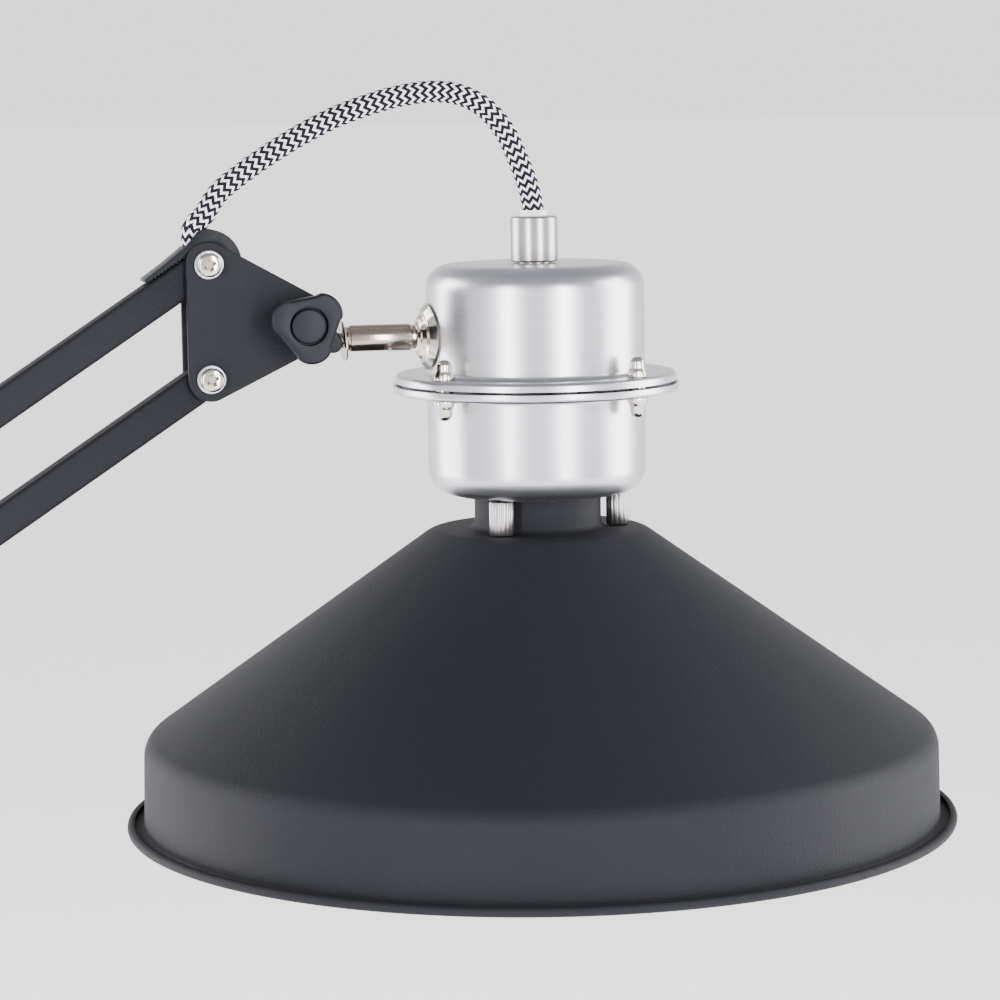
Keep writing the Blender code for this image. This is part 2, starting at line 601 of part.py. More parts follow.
def build_head(finish):
    """Swivel tube, saddle washer, both cups, studs, gland, holder and bulb."""
    tube = [(0.0, -65.5), (1.8, -65.5), (1.8, TUBE_LEFT), (3.5, TUBE_LEFT),
            (TUBE_R, TUBE_LEFT + 0.6), (TUBE_R, TUBE_RIGHT),
            (2.2, TUBE_RIGHT), (2.2, -28.0), (0.0, -28.0)]
    turned("swivel_tube", tube, finish["steel"], at(HEAD), axis="X", segments=20)
    saddle = [(2.6, -37.0), (4.6, -37.0), (10.0, -34.4), (10.0, -33.2), (4.4, -35.8),
              (2.6, -35.8)]
    turned("saddle_washer", saddle, finish["steel"], at(HEAD), axis="X", segments=20, ring=True)
    turned("cup_nut", [(2.5, -31.4), (4.4, -31.4), (4.4, -28.6), (2.5, -28.6)],
           finish["steel"], at(HEAD), axis="X", segments=12, ring=True)

    upper = rounded_path([(5.3, CUP_TOP, 0), (CUP_R, CUP_TOP, 7.2),
                          (CUP_R, UPPER_FLANGE_Z, 0), (UPPER_FLANGE_R, UPPER_FLANGE_Z, 0),
                          (UPPER_FLANGE_R, UPPER_FLANGE_Z - FLANGE_LIP, 0)])
    lower = rounded_path([(LOWER_FLANGE_R, LOWER_FLANGE_Z + FLANGE_LIP, 0),
                          (LOWER_FLANGE_R, LOWER_FLANGE_Z, 0), (CUP_R, LOWER_FLANGE_Z, 0),
                          (CUP_R, LOWER_CUP_BOTTOM, 7.8), (18.3, LOWER_CUP_BOTTOM, 0)])
    cups = [head_ring("upper_cup", sheet_profile(upper, CUP_WALL), finish["aluminium"], 32),
            head_ring("lower_cup", sheet_profile(lower, CUP_WALL), finish["aluminium"], 32)]
    wall_hole = turned("cup_wall_hole", [(0.0, -40.0), (2.7, -40.0), (2.7, -25.0), (0.0, -25.0)],
                       finish["steel"], at(HEAD), axis="X", segments=12)
    cut(cups[0], wall_hole)
    for index, angle in enumerate(STUD_ANGLES, start=1):
        spot = polar(angle, STUD_CIRCLE_R)
        centre = (HEAD.x + spot.x, spot.y, HEAD.y)
        drill = turned(f"stud_hole_{index}", [(0.0, -20.0), (1.75, -20.0), (1.75, -9.0),
                                              (0.0, -9.0)],
                       finish["steel"], centre, segments=10)
        for cup in cups:
            cut(cup, drill)
        build_stud(f"flange_stud_{index}", centre, finish)

    gland = [(3.6, 17.0), (4.9, 17.0), (4.9, CUP_TOP + GAP), (7.1, CUP_TOP + GAP),
             (7.1, 34.4), (6.5, 35.0), (3.6, 35.0)]
    head_ring("cable_gland", gland, finish["steel"], 16)
    holder = [(0.0, -26.0), (14.0, -26.0), (17.2, -29.0), (17.2, -70.0), (13.7, -70.0),
              (13.7, -46.0), (0.0, -46.0)]
    turned("lampholder", holder, finish["plastic"], at(HEAD), segments=20)
    globe_r, globe_z = 22.5, -98.5
    globe = [(globe_r * math.cos(math.radians(a)), globe_z + globe_r * math.sin(math.radians(a)))
             for a in range(40, -81, -20)]
    bulb = [(0.0, -47.0), (5.0, -47.0), (8.0, -49.5), (13.1, -50.5), (13.1, -72.5), *globe,
            (0.0, globe_z - globe_r)]
    turned("bulb", bulb, finish["glass"], at(HEAD), segments=18)


def build_stud(name, centre, finish):
    """Stud with a domed nut above and below the flanges and a collar between them."""
    top = UPPER_FLANGE_Z + GAP
    bottom = LOWER_FLANGE_Z - GAP
    collar_top = UPPER_FLANGE_Z - CUP_WALL - GAP
    collar_bottom = LOWER_FLANGE_Z + CUP_WALL + GAP
    nut = [(1.4, 0.0), (3.1, 0.0), (3.1, 2.2), (2.4, 2.6), (2.3, 4.0), (1.3, 5.6)]
    profile = [(0.0, bottom - 5.8)]
    profile += [(radius, bottom - height) for radius, height in nut[::-1]]
    profile += [(1.4, collar_bottom), (2.6, collar_bottom), (2.6, collar_top),
                (1.4, collar_top)]
    profile += [(radius, top + height) for radius, height in nut]
    profile += [(0.0, top + 5.8)]
    turned(name, profile, finish["steel"], centre, segments=8)


def build_shade(finish):
    """Neck, top disc, cone, band and turned-up rim, and the three fluted standoffs."""
    shoulder_r = (CONE_APEX_Z - SHADE_TOP) / CONE_SLOPE
    crease_z = CONE_APEX_Z - CONE_SLOPE * CREASE_R
    lip_r = RIM_R - SHADE_WALL
    lip_z = RIM_BOTTOM + SHADE_WALL
    path = rounded_path([(SHADE_NECK_R, LOWER_CUP_BOTTOM - 0.4, 0),
                         (SHADE_NECK_R, SHADE_TOP, 0), (shoulder_r, SHADE_TOP, 9.0),
                         (CREASE_R, crease_z, 9.0), (BAND_R, lip_z, 0),
                         (lip_r, lip_z, 0), (lip_r, RIM_TOP, 0)], steps=2)
    head_ring("shade", sheet_profile(path, SHADE_WALL), finish["black"], 48)
    flutes = 12
    for index, angle in enumerate(STANDOFF_ANGLES, start=1):
        spot = polar(angle, STANDOFF_CIRCLE_R)
        centre = Vector((HEAD.x + spot.x, spot.y))
        outline = [centre + polar(180.0 * i / flutes, STANDOFF_R - (0.35 if i % 2 else 0.0))
                   for i in range(2 * flutes)]
        extruded(f"standoff_{index}", outline, finish["steel"],
                 HEAD.y + SHADE_TOP + GAP, HEAD.y + LOWER_CUP_BOTTOM - GAP, axis="Z",
                 origin=(centre.x, centre.y, HEAD.y))


def build_flex(finish):
    """Flex loop from the cable guide to the head's gland, and the bend at the elbow."""
    side = Vector((-UPPER_DIR.y, UPPER_DIR.x))
    start = HEAD_TOP + UPPER_DIR * 1.5 + side * 11.0
    loop = [(-99.6, 37.2), (-94.8, 43.9), (-87.9, 49.4), (-79.4, 55.0), (-69.5, 60.7),
            (-58.7, 65.8), (-47.2, 69.6), (-38.5, 71.6), (-29.5, 72.4), (-21.7, 71.2),
            (-14.4, 67.2), (-8.6, 60.3), (-4.3, 51.2), (-1.4, 43.0), (0.0, 35.3)]
    points = [at(start)] + [at(HEAD + Vector(p)) for p in loop]
    fine = smooth_route(points, 4.0)
    first_split, last_split = (HEAD.x + split for split in HEAD_FLEX_SPLITS)
    lengths = {
        "head_flex_arm": [p for p in fine if p.x < first_split],
        "head_flex_middle": [p for p in fine if first_split <= p.x < last_split],
        "head_flex_head": [p for p in fine if p.x >= last_split],
    }
    for name, part in lengths.items():
        cord_curve(name, smooth_route(part, 8.0), FLEX_R - 0.05, finish["flex"])
    bend = [ELBOW_TOP - UPPER_DIR * 6.0, ELBOW_TOP - UPPER_DIR * 13.0,
            ELBOW_TOP + Vector((-24.0, -17.5)), ELBOW_TOP + Vector((-31.5, -31.0)),
            ELBOW_TOP + Vector((-31.0, -45.5)), ELBOW_LEFT + LOWER_DIR * 15.0,
            ELBOW_LEFT + LOWER_DIR * 6.5]
    cord_curve("elbow_flex", smooth_route([at(p) for p in bend], 8.0), FLEX_R - 0.05,
               finish["flex"])


def main():
    """Build the whole lamp."""
    clear_scene()
    finish = make_finishes()
    build_base(finish)
    build_lead(finish)
    build_stem(finish)
    build_lower_arm(finish)
    build_elbow(finish)
    build_upper_arm(finish)
    build_head_plates(finish)
    build_knob(finish)
    build_tilt_block(finish)
    build_head(finish)
    build_shade(finish)
    build_flex(finish)


main()
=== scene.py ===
"""Looks of the swing arm desk lamp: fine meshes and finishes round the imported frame.

Sizes are in millimetres and become metres when a mesh is made. +Z is up and both arms
swing in the XZ plane. Pivots and centres come from the boxes of the frame's own nodes.
"""
import logging
import math
from collections.abc import Callable, Iterable, Sequence
from dataclasses import dataclass, field
from enum import Enum

import bmesh
import bpy
from mathutils import Euler, Matrix, Vector


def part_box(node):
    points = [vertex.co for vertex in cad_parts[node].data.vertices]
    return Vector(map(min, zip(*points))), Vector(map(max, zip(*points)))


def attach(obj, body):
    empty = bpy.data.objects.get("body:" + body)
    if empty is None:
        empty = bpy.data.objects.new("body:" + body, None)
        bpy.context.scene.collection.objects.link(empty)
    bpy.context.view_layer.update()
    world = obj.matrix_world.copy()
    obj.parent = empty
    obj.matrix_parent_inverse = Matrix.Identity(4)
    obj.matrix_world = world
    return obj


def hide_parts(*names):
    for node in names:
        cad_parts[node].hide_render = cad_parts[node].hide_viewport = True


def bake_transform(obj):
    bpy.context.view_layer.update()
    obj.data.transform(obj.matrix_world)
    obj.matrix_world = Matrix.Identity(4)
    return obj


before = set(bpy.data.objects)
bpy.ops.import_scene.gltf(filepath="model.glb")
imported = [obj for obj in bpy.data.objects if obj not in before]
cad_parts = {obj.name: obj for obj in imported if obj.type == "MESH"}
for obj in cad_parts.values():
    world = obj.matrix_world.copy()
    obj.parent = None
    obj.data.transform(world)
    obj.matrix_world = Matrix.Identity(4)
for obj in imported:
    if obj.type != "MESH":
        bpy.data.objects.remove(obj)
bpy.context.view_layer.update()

MM = 0.001
LOG = logging.getLogger("desk_lamp")
Point = Sequence[float]
Profile = list[Vector]


# ---------------------------------------------------------------- places in the frame
def middle(node: str) -> Vector:
    """Return the centre of a frame node's box, in millimetres."""
    low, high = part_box(node)
    return (low + high) / (2 * MM)


def pivot(node: str) -> Vector:
    """Return a cross pin's or screw's place in the arm plane, with y at zero."""
    place = middle(node)
    return Vector((place.x, 0.0, place.z))


def heading(start: Vector, end: Vector) -> Vector:
    """Return the unit vector from one point to another."""
    return (end - start).normalized()


BRACKET_LEFT = pivot("bracket_screw_left")
BRACKET_RIGHT = pivot("bracket_screw_right")
ELBOW_LEFT = pivot("elbow_screw_left")
ELBOW_RIGHT = pivot("elbow_screw_right")
ELBOW_LOW = pivot("elbow_screw_low")
ELBOW_TOP = pivot("elbow_screw_top")
HEAD_LOW = pivot("head_screw_bottom")
HEAD_TOP = pivot("head_screw_top")
KNOB = pivot("knob_cap")
HEAD = Vector((middle("cable_gland").x, 0.0, middle("saddle_washer").z))
LOWER_DIR = heading(BRACKET_LEFT, ELBOW_LEFT)
UPPER_DIR = heading(ELBOW_TOP, HEAD_TOP)
PLATE_INNER_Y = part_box("head_plate_back")[0].y / MM
PLATE_OUTER_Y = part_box("head_plate_back")[1].y / MM
# Washers and the tilt bolt's head lie this far out from the arm plane.
WASHER_SEAT_Y = PLATE_OUTER_Y + 0.3
BORE = 2.3
CUP_RADIUS = 32.85


class Axis(Enum):
    """Axis that a round piece is turned about."""

    X = "X"
    Y = "Y"
    Z = "Z"

    def matrix(self) -> Matrix:
        """Return the turn that brings +Z onto this axis."""
        turns = {"X": Matrix.Rotation(math.pi / 2, 4, "Y"),
                 "Y": Matrix.Rotation(-math.pi / 2, 4, "X"),
                 "Z": Matrix.Identity(4)}
        return turns[self.value]


# ---------------------------------------------------------------- node trees
class Signal:
    """A value on a node's output that can be used in Python expressions."""

    def __init__(self, maker: "NodeMaker", socket: bpy.types.NodeSocket) -> None:
        """Keep the socket and the maker whose tree it belongs to."""
        self.maker = maker
        self.socket = socket

    def math(self, operation: str, *values: "Signal | float") -> "Signal":
        """Return a Math node's result on this value and the others."""
        inputs = dict(enumerate((self, *values)))
        return self.maker.make("ShaderNodeMath", {"operation": operation}, inputs)

    def __add__(self, other: "Signal | float") -> "Signal":
        """Return self + other."""
        return self.math("ADD", other)

    __radd__ = __add__

    def __sub__(self, other: "Signal | float") -> "Signal":
        """Return self - other."""
        return self.math("SUBTRACT", other)

    def __rsub__(self, other: float) -> "Signal":
        """Return other - self."""
        return (self * -1.0) + other

    def __mul__(self, other: "Signal | float") -> "Signal":
        """Return self * other."""
        return self.math("MULTIPLY", other)

    __rmul__ = __mul__

    def __truediv__(self, other: "Signal | float") -> "Signal":
        """Return self / other."""
        return self.math("DIVIDE", other)

    def __pow__(self, power: float) -> "Signal":
        """Return self raised to a power."""
        return self.math("POWER", power)

    def __abs__(self) -> "Signal":
        """Return the value without its sign."""
        return self.math("ABSOLUTE")

    def fraction(self) -> "Signal":
        """Return the part after the decimal point."""
        return self.math("FRACT")

    def sine(self) -> "Signal":
        """Return the sine of the value in radians."""
        return self.math("SINE")

    def limited(self) -> "Signal":
        """Return the value kept between 0 and 1."""
        return self.math("MAXIMUM", 0.0).math("MINIMUM", 1.0)


class NodeMaker:
    """Makes the nodes of one tree."""

    def __init__(self, tree: bpy.types.NodeTree) -> None:
        """Keep the tree."""
        self.tree = tree

    def make(self, kind: str, settings: dict | None = None, inputs: dict | None = None,
             output: int | str = 0) -> Signal:
        """Add a node and return one of its outputs.

        Args:
            kind: The node's type.
            settings: Its properties; "stops" are a ramp's (position, colour) pairs.
            inputs: Values or signals by socket name or number.
            output: The output that is returned.

        Returns:
            The chosen output.
        """
        node = self.tree.nodes.new(kind)
        for name, value in (settings or {}).items():
            if name == "stops":
                for element, (position, colour) in zip(node.color_ramp.elements, value):
                    element.position = position
                    element.color = (*colour, 1.0)
            else:
                setattr(node, name, value)
        for name, value in (inputs or {}).items():
            if isinstance(value, Signal):
                self.tree.links.new(value.socket, node.inputs[name])
            else:
                node.inputs[name].default_value = value
        return Signal(self, node.outputs[output] if node.outputs else None)

    def blend_colours(self, factor: Signal, first: Point | Signal,
                      second: Point | Signal) -> Signal:
        """Return a colour between two colours.

        Args:
            factor: 0 gives the first and 1 the second.
            first: A colour or a signal.
            second: A colour or a signal.

        Returns:
            The colour.
        """
        pair = [value if isinstance(value, Signal) else (*value, 1.0)
                for value in (first, second)]
        return self.make("ShaderNodeMix", {"data_type": "RGBA"},
                         {0: factor, 6: pair[0], 7: pair[1]}, 2)

    def noise(self, scale: float, detail: float = 2.0, vector: Signal | None = None) -> Signal:
        """Return noise on Object coordinates, or on a vector, with its scale per metre.

        Args:
            scale: The noise's scale.
            detail: How many finer layers it has.
            vector: Coordinates to use in place of the object's own.

        Returns:
            The noise, from 0 to 1.
        """
        source = vector or self.make("ShaderNodeTexCoord", output="Object")
        return self.make("ShaderNodeTexNoise", inputs={
            "Vector": source, "Scale": scale, "Detail": detail, "Roughness": 0.55})


# ---------------------------------------------------------------- finishes
MADE_MATERIALS: dict[str, bpy.types.Material] = {}


@dataclass(frozen=True)
class Finish:
    """A surface with a grain, a slow change of tone and a gloss that varies with both."""

    name: str
    slot: str
    colour: tuple[float, float, float]
    roughness: float
    metallic: float = 0.0
    specular: float = 0.5
    grain_scale: float = 900.0
    grain_height: float = 0.00004
    tone_scale: float = 30.0
    tone_change: float = 0.12
    gloss_change: float = 0.10
    coat: float = 0.0

    def material(self) -> bpy.types.Material:
        """Return this finish's material, made the first time it is asked for."""
        made = MADE_MATERIALS.get(self.name)
        if made is None:
            made = MADE_MATERIALS[self.name] = bpy.data.materials.new(self.name)
            made.use_nodes = True
            maker = NodeMaker(made.node_tree)
            shader = made.node_tree.nodes["Principled BSDF"]
            for socket, value in (("Roughness", self.roughness), ("Metallic", self.metallic),
                                  ("Specular IOR Level", self.specular),
                                  ("Coat Weight", self.coat), ("Coat Roughness", 0.12)):
                shader.inputs[socket].default_value = value
            self.dress(maker, shader)
            made.diffuse_color = (*self.colour, 1.0)
        return made

    def connect(self, maker: NodeMaker, shader: bpy.types.Node, colour: Signal,
                roughness: Signal, height: Signal, depth: float) -> None:
        """Feed a shader its colour, its roughness and a bump.

        Args:
            maker: Maker of the material's nodes.
            shader: The Principled node.
            colour: Base colour.
            roughness: Roughness.
            height: Bump height from 0 to 1.
            depth: What a height of 1 is, in metres.
        """
        normal = maker.make("ShaderNodeBump", inputs={
            "Strength": 1.0, "Distance": depth, "Height": height})
        for socket, signal in (("Base Color", colour), ("Roughness", roughness),
                               ("Normal", normal)):
            maker.tree.links.new(signal.socket, shader.inputs[socket])

    def shades(self, maker: NodeMaker, tone: Signal) -> Signal:
        """Return the finish's colour, darkest where the tone is 0 and lightest where it is 1.

        Args:
            maker: Maker of the material's nodes.
            tone: The tone.

        Returns:
            The colour.
        """
        dark = [value * (1 - self.tone_change) for value in self.colour]
        light = [min(value * (1 + self.tone_change), 1.0) for value in self.colour]
        return maker.blend_colours(tone, dark, light)

    def dress(self, maker: NodeMaker, shader: bpy.types.Node) -> None:
        """Make the nodes of the finish."""
        grain = maker.noise(self.grain_scale)
        tone = maker.noise(self.tone_scale, 4.0)
        mixed = (tone * 0.6 + grain * 0.4).limited()
        roughness = (grain - 0.5) * self.gloss_change + (tone - 0.5) * self.gloss_change
        self.connect(maker, shader, self.shades(maker, mixed), roughness + self.roughness,
                     grain, self.grain_height)


@dataclass(frozen=True)
class TurnedFinish(Finish):
    """Metal with the fine rings of a lathe round an axis parallel to X, Y or Z."""

    axis: Axis = Axis.Z
    centre: tuple[float, float, float] = (0.0, 0.0, 0.0)
    rings_per_metre: float = 4500.0

    def dress(self, maker: NodeMaker, shader: bpy.types.Node) -> None:
        """Make lathe rings from the distance to the axis and the height along it."""
        place = maker.make("ShaderNodeTexCoord", output="Object")
        moved = maker.make("ShaderNodeVectorMath", {"operation": "SUBTRACT"},
                           {0: place, 1: [value * MM for value in self.centre]})
        parts = dict(zip("XYZ", (maker.make("ShaderNodeSeparateXYZ", None, {0: moved}, part)
                                 for part in range(3))))
        along = parts.pop(self.axis.value)
        first, second = parts.values()
        radius = (first * first + second * second) ** 0.5
        ring_place = maker.make("ShaderNodeCombineXYZ", None, {0: radius, 1: along})
        rings = maker.noise(self.rings_per_metre, vector=ring_place)
        wide = maker.noise(self.rings_per_metre / 9, vector=ring_place)
        specks = maker.noise(self.grain_scale)
        tone = (rings * 0.5 + wide * 0.3 + specks * 0.2).limited()
        roughness = (tone - 0.5) * self.gloss_change + self.roughness
        self.connect(maker, shader, self.shades(maker, tone), roughness,
                     rings * 0.7 + specks * 0.3, self.grain_height)


@dataclass(frozen=True)
class BraidFinish(Finish):
    """Two-colour textile braid whose stripes zigzag round the cord.

    The UV map holds the length along the cord in metres and the share of a turn.
    """

    light: tuple[float, float, float] = (0.88, 0.88, 0.89)
    stripe_pitch: float = 2.55
    zigzags: int = 8
    zigzag_height: float = 1.45
    dark_share: float = 0.60
    thread: float = 0.62

    def dress(self, maker: NodeMaker, shader: bpy.types.Node) -> None:
        """Make the zigzag stripes and the threads' relief."""
        place = maker.make("ShaderNodeUVMap", {"uv_map": "UVMap"})
        along = maker.make("ShaderNodeSeparateXYZ", None, {0: place}, 0) / MM
        around = maker.make("ShaderNodeSeparateXYZ", None, {0: place}, 1)
        fray = (maker.noise(2500.0) - 0.5) * 0.25
        tooth = abs((around * self.zigzags).fraction() - 0.5) * 2.0
        phase = ((along + tooth * self.zigzag_height + fray) / self.stripe_pitch).fraction()
        from_middle = abs(phase - 0.5)
        dark = ((self.dark_share / 2 - from_middle) / 0.05 + 0.5).limited()
        turn = math.tau * self.zigzags * 3
        ribs = (around * turn).sine() * (along * (math.tau / self.thread)).sine()
        height = (ribs * 0.25 + 0.4 + fray + from_middle * 0.6).limited()
        speck = maker.noise(1800.0)
        white = maker.blend_colours(speck, [v * 0.86 for v in self.light], self.light)
        black = maker.blend_colours(speck, self.colour, [v * 1.9 for v in self.colour])
        roughness = (speck - 0.5) * self.gloss_change + self.roughness
        self.connect(maker, shader, maker.blend_colours(dark, white, black), roughness,
                     height, self.grain_height)


HEAD_AXIS = (HEAD.x, 0.0, HEAD.z)
POWDER = Finish("black_powder_coat", "powder_black", (0.0076, 0.0080, 0.0112), 0.64,
                specular=0.17, grain_scale=1500.0, grain_height=0.00017, tone_scale=12.0,
                tone_change=0.16, gloss_change=0.14)
ENAMEL = Finish("white_enamel", "powder_black", (0.82, 0.82, 0.80), 0.42,
                grain_scale=1200.0, grain_height=0.00004, tone_change=0.03)
PLASTIC = Finish("moulded_black_plastic", "black_plastic", (0.0052, 0.0060, 0.0092), 0.42,
                 specular=0.16, grain_scale=2600.0, grain_height=0.00003, tone_change=0.10)
SLEEVE = Finish("white_nylon", "black_plastic", (0.84, 0.84, 0.85), 0.45, tone_change=0.03)
NICKEL = Finish("bright_nickel", "nickel", (0.56, 0.51, 0.46), 0.14, metallic=1.0,
                grain_scale=500.0, grain_height=0.00001, tone_scale=90.0,
                tone_change=0.05, gloss_change=0.07)
ZINC = Finish("zinc_washer", "nickel", (0.44, 0.46, 0.52), 0.34, metallic=1.0,
              grain_scale=900.0, grain_height=0.00002, tone_change=0.06)
SPRING_WIRE = Finish("spring_wire", "spring_steel", (0.62, 0.62, 0.65), 0.24, metallic=1.0,
                     grain_scale=700.0, grain_height=0.00001, tone_change=0.08)
IRON = Finish("grey_cast_iron", "cast_iron", (0.09, 0.09, 0.09), 0.72, metallic=0.6,
              grain_scale=600.0, grain_height=0.0002, tone_change=0.25)
RUBBER = Finish("foam_rubber", "rubber_pad", (0.030, 0.030, 0.032), 0.88,
                grain_scale=1400.0, grain_height=0.0001, tone_change=0.2)
OPAL = Finish("opal_globe", "opal_glass", (0.90, 0.90, 0.87), 0.22, grain_scale=400.0,
              grain_height=0.00001, tone_change=0.02, gloss_change=0.04, coat=0.3)
ALUMINIUM = TurnedFinish("spun_aluminium", "brushed_aluminium", (0.50, 0.505, 0.54), 0.32,
                         metallic=1.0, grain_scale=1100.0, grain_height=0.000018,
                         tone_change=0.20, gloss_change=0.20, centre=HEAD_AXIS,
                         rings_per_metre=1500.0)
SATIN = TurnedFinish("turned_satin_nickel", "satin_nickel", (0.36, 0.335, 0.335), 0.29,
                     metallic=1.0, grain_height=0.000008, tone_change=0.05,
                     gloss_change=0.06, centre=HEAD_AXIS)
# Darker copy of the bright nickel for the swivel tube: painted shade standing in for the dim
# reflections along the tube.
SHADED_TUBE_NICKEL = TurnedFinish("turned_nickel", "nickel", (0.36, 0.30, 0.265), 0.15,
                           metallic=1.0, grain_height=0.000006, tone_change=0.06,
                           gloss_change=0.06, axis=Axis.X, centre=HEAD_AXIS)
BRAID = BraidFinish("zigzag_braid", "textile_flex", (0.0055, 0.0055, 0.0100), 0.88,
                    specular=0.12, grain_height=0.00030)


# ---------------------------------------------------------------- outlines and profiles
def polar(angle_deg: float, length: float = 1.0) -> Vector:
    """Return the 2-D offset at an angle."""
    angle = math.radians(angle_deg)
    return Vector((length * math.cos(angle), length * math.sin(angle)))


def flat(point: Vector) -> Vector:
    """Return a point of the arm plane as (x, z)."""
    return Vector((point.x, point.z))


def arc(centre: Point, radius: float, start: float, end: float, steps: int) -> Profile:
    """Return points on an arc between two angles in degrees.

    Args:
        centre: The arc's centre.
        radius: Its radius.
        start: Angle of the first point.
        end: Angle of the last point.
        steps: How many steps lie between them.

    Returns:
        The points, one more than the steps.
    """
    return [Vector(centre) + polar(start + (end - start) * step / steps, radius)
            for step in range(steps + 1)]


def bore_loop(spot: Vector) -> Profile:
    """Return the loop of a pivot's bore in the arm plane."""
    return arc(flat(spot), BORE, 0.0, 345.0, 23)


def rounded(corners: Iterable[tuple[float, float, float]], steps: int = 8) -> Profile:
    """Return a path whose corners are rounded.

    Args:
        corners: Each corner as (radius or x, height, fillet).
        steps: Points on each fillet.

    Returns:
        The points of the path.
    """
    corners = list(corners)
    path = []
    for index, (across, height, fillet) in enumerate(corners):
        here = Vector((across, height))
        if fillet == 0 or index in (0, len(corners) - 1):
            path.append(here)
            continue
        back = (Vector(corners[index - 1][:2]) - here).normalized()
        ahead = (Vector(corners[index + 1][:2]) - here).normalized()
        half = back.angle(ahead) / 2
        centre = here + (back + ahead).normalized() * (fillet / math.sin(half))
        first = here + back * (fillet / math.tan(half)) - centre
        turn = first.angle_signed(here + ahead * (fillet / math.tan(half)) - centre)
        for step in range(steps + 1):
            path.append(centre + Matrix.Rotation(-turn * step / steps, 2) @ first)
    return path


def walled(path: Profile, wall: float) -> Profile:
    """Give a path a wall on its right-hand side and return the closed profile.

    Args:
        path: The sheet's outer face.
        wall: Its thickness.

    Returns:
        The path and the inner face back to its start.
    """
    inner = []
    for index, point in enumerate(path):
        before = path[max(index - 1, 0)]
        after = path[min(index + 1, len(path) - 1)]
        first = (point - before if index else after - point).normalized()
        last = (after - point if index < len(path) - 1 else point - before).normalized()
        sides = [Vector((way.y, -way.x)) for way in (first, last)]
        mitre = (sides[0] + sides[1]).normalized()
        inner.append(point + mitre * (wall / max(mitre.dot(sides[0]), 0.5)))
    return list(path) + inner[::-1]


def ring(count: int, height: float, radius: Callable[[float], float]) -> list[Vector]:
    """Return a level ring of points, counter-clockwise from +X.

    Args:
        count: How many points it has.
        height: Its z.
        radius: Gives the radius at an angle in degrees.

    Returns:
        The points of the ring.
    """
    angles = [360.0 * index / count for index in range(count)]
    return [Vector((*polar(angle, radius(angle)), height)) for angle in angles]


def hull(discs: Iterable[tuple[Vector, float]], count: int = 72) -> Profile:
    """Return the outline round several discs, each given as (centre, radius).

    Args:
        discs: The discs.
        count: Points on each disc.

    Returns:
        The outline, counter-clockwise.
    """
    bm = bmesh.new()
    for centre, radius in discs:
        for point in arc(centre, radius, 0.0, 360.0 * (count - 1) / count, count - 1):
            bm.verts.new((point.x, point.y, 0.0))
    result = bmesh.ops.convex_hull(bm, input=bm.verts)
    spare = [item for item in result["geom_interior"] if isinstance(item, bmesh.types.BMVert)]
    bmesh.ops.delete(bm, geom=spare, context="VERTS")
    points = [vert.co.xy.copy() for vert in bm.verts]
    bm.free()
    centre = sum(points, Vector((0.0, 0.0))) / len(points)
    return sorted(points, key=lambda p: math.atan2(p.y - centre.y, p.x - centre.x))


def smooth(points: Sequence[Vector], spacing: float) -> list[Vector]:
    """Return evenly spaced points on a smooth curve through a route's points.

    Args:
        points: The route.
        spacing: Distance between the new points.

    Returns:
        The new points, with the route's own ends.
    """
    ends = [2 * points[0] - points[1], *points, 2 * points[-1] - points[-2]]
    dense = []
    for a, b, c, d in zip(ends, ends[1:], ends[2:], ends[3:]):
        for step in range(24):
            t = step / 24
            dense.append(0.5 * (2 * b + (c - a) * t + (2 * a - 5 * b + 4 * c - d) * t ** 2
                                + (3 * b - a - 3 * c + d) * t ** 3))
    dense.append(points[-1])
    run = [0.0]
    for here, after in zip(dense, dense[1:]):
        run.append(run[-1] + (after - here).length)
    count = max(3, round(run[-1] / spacing))
    even, slot = [], 0
    for index in range(count + 1):
        want = run[-1] * index / count
        while slot < len(dense) - 2 and run[slot + 1] < want:
            slot += 1
        part = (want - run[slot]) / max(run[slot + 1] - run[slot], 1e-9)
        even.append(dense[slot].lerp(dense[slot + 1], min(part, 1.0)))
    return even


# ---------------------------------------------------------------- solids
MERGE_DISTANCE = 0.0009


def add_object(name: str, data: bpy.types.ID) -> bpy.types.Object:
    """Put a mesh, a camera or a light into the scene at the origin.

    Args:
        name: The object's name.
        data: What it shows.

    Returns:
        The object.
    """
    made = bpy.data.objects.new(name, data)
    bpy.context.scene.collection.objects.link(made)
    return made


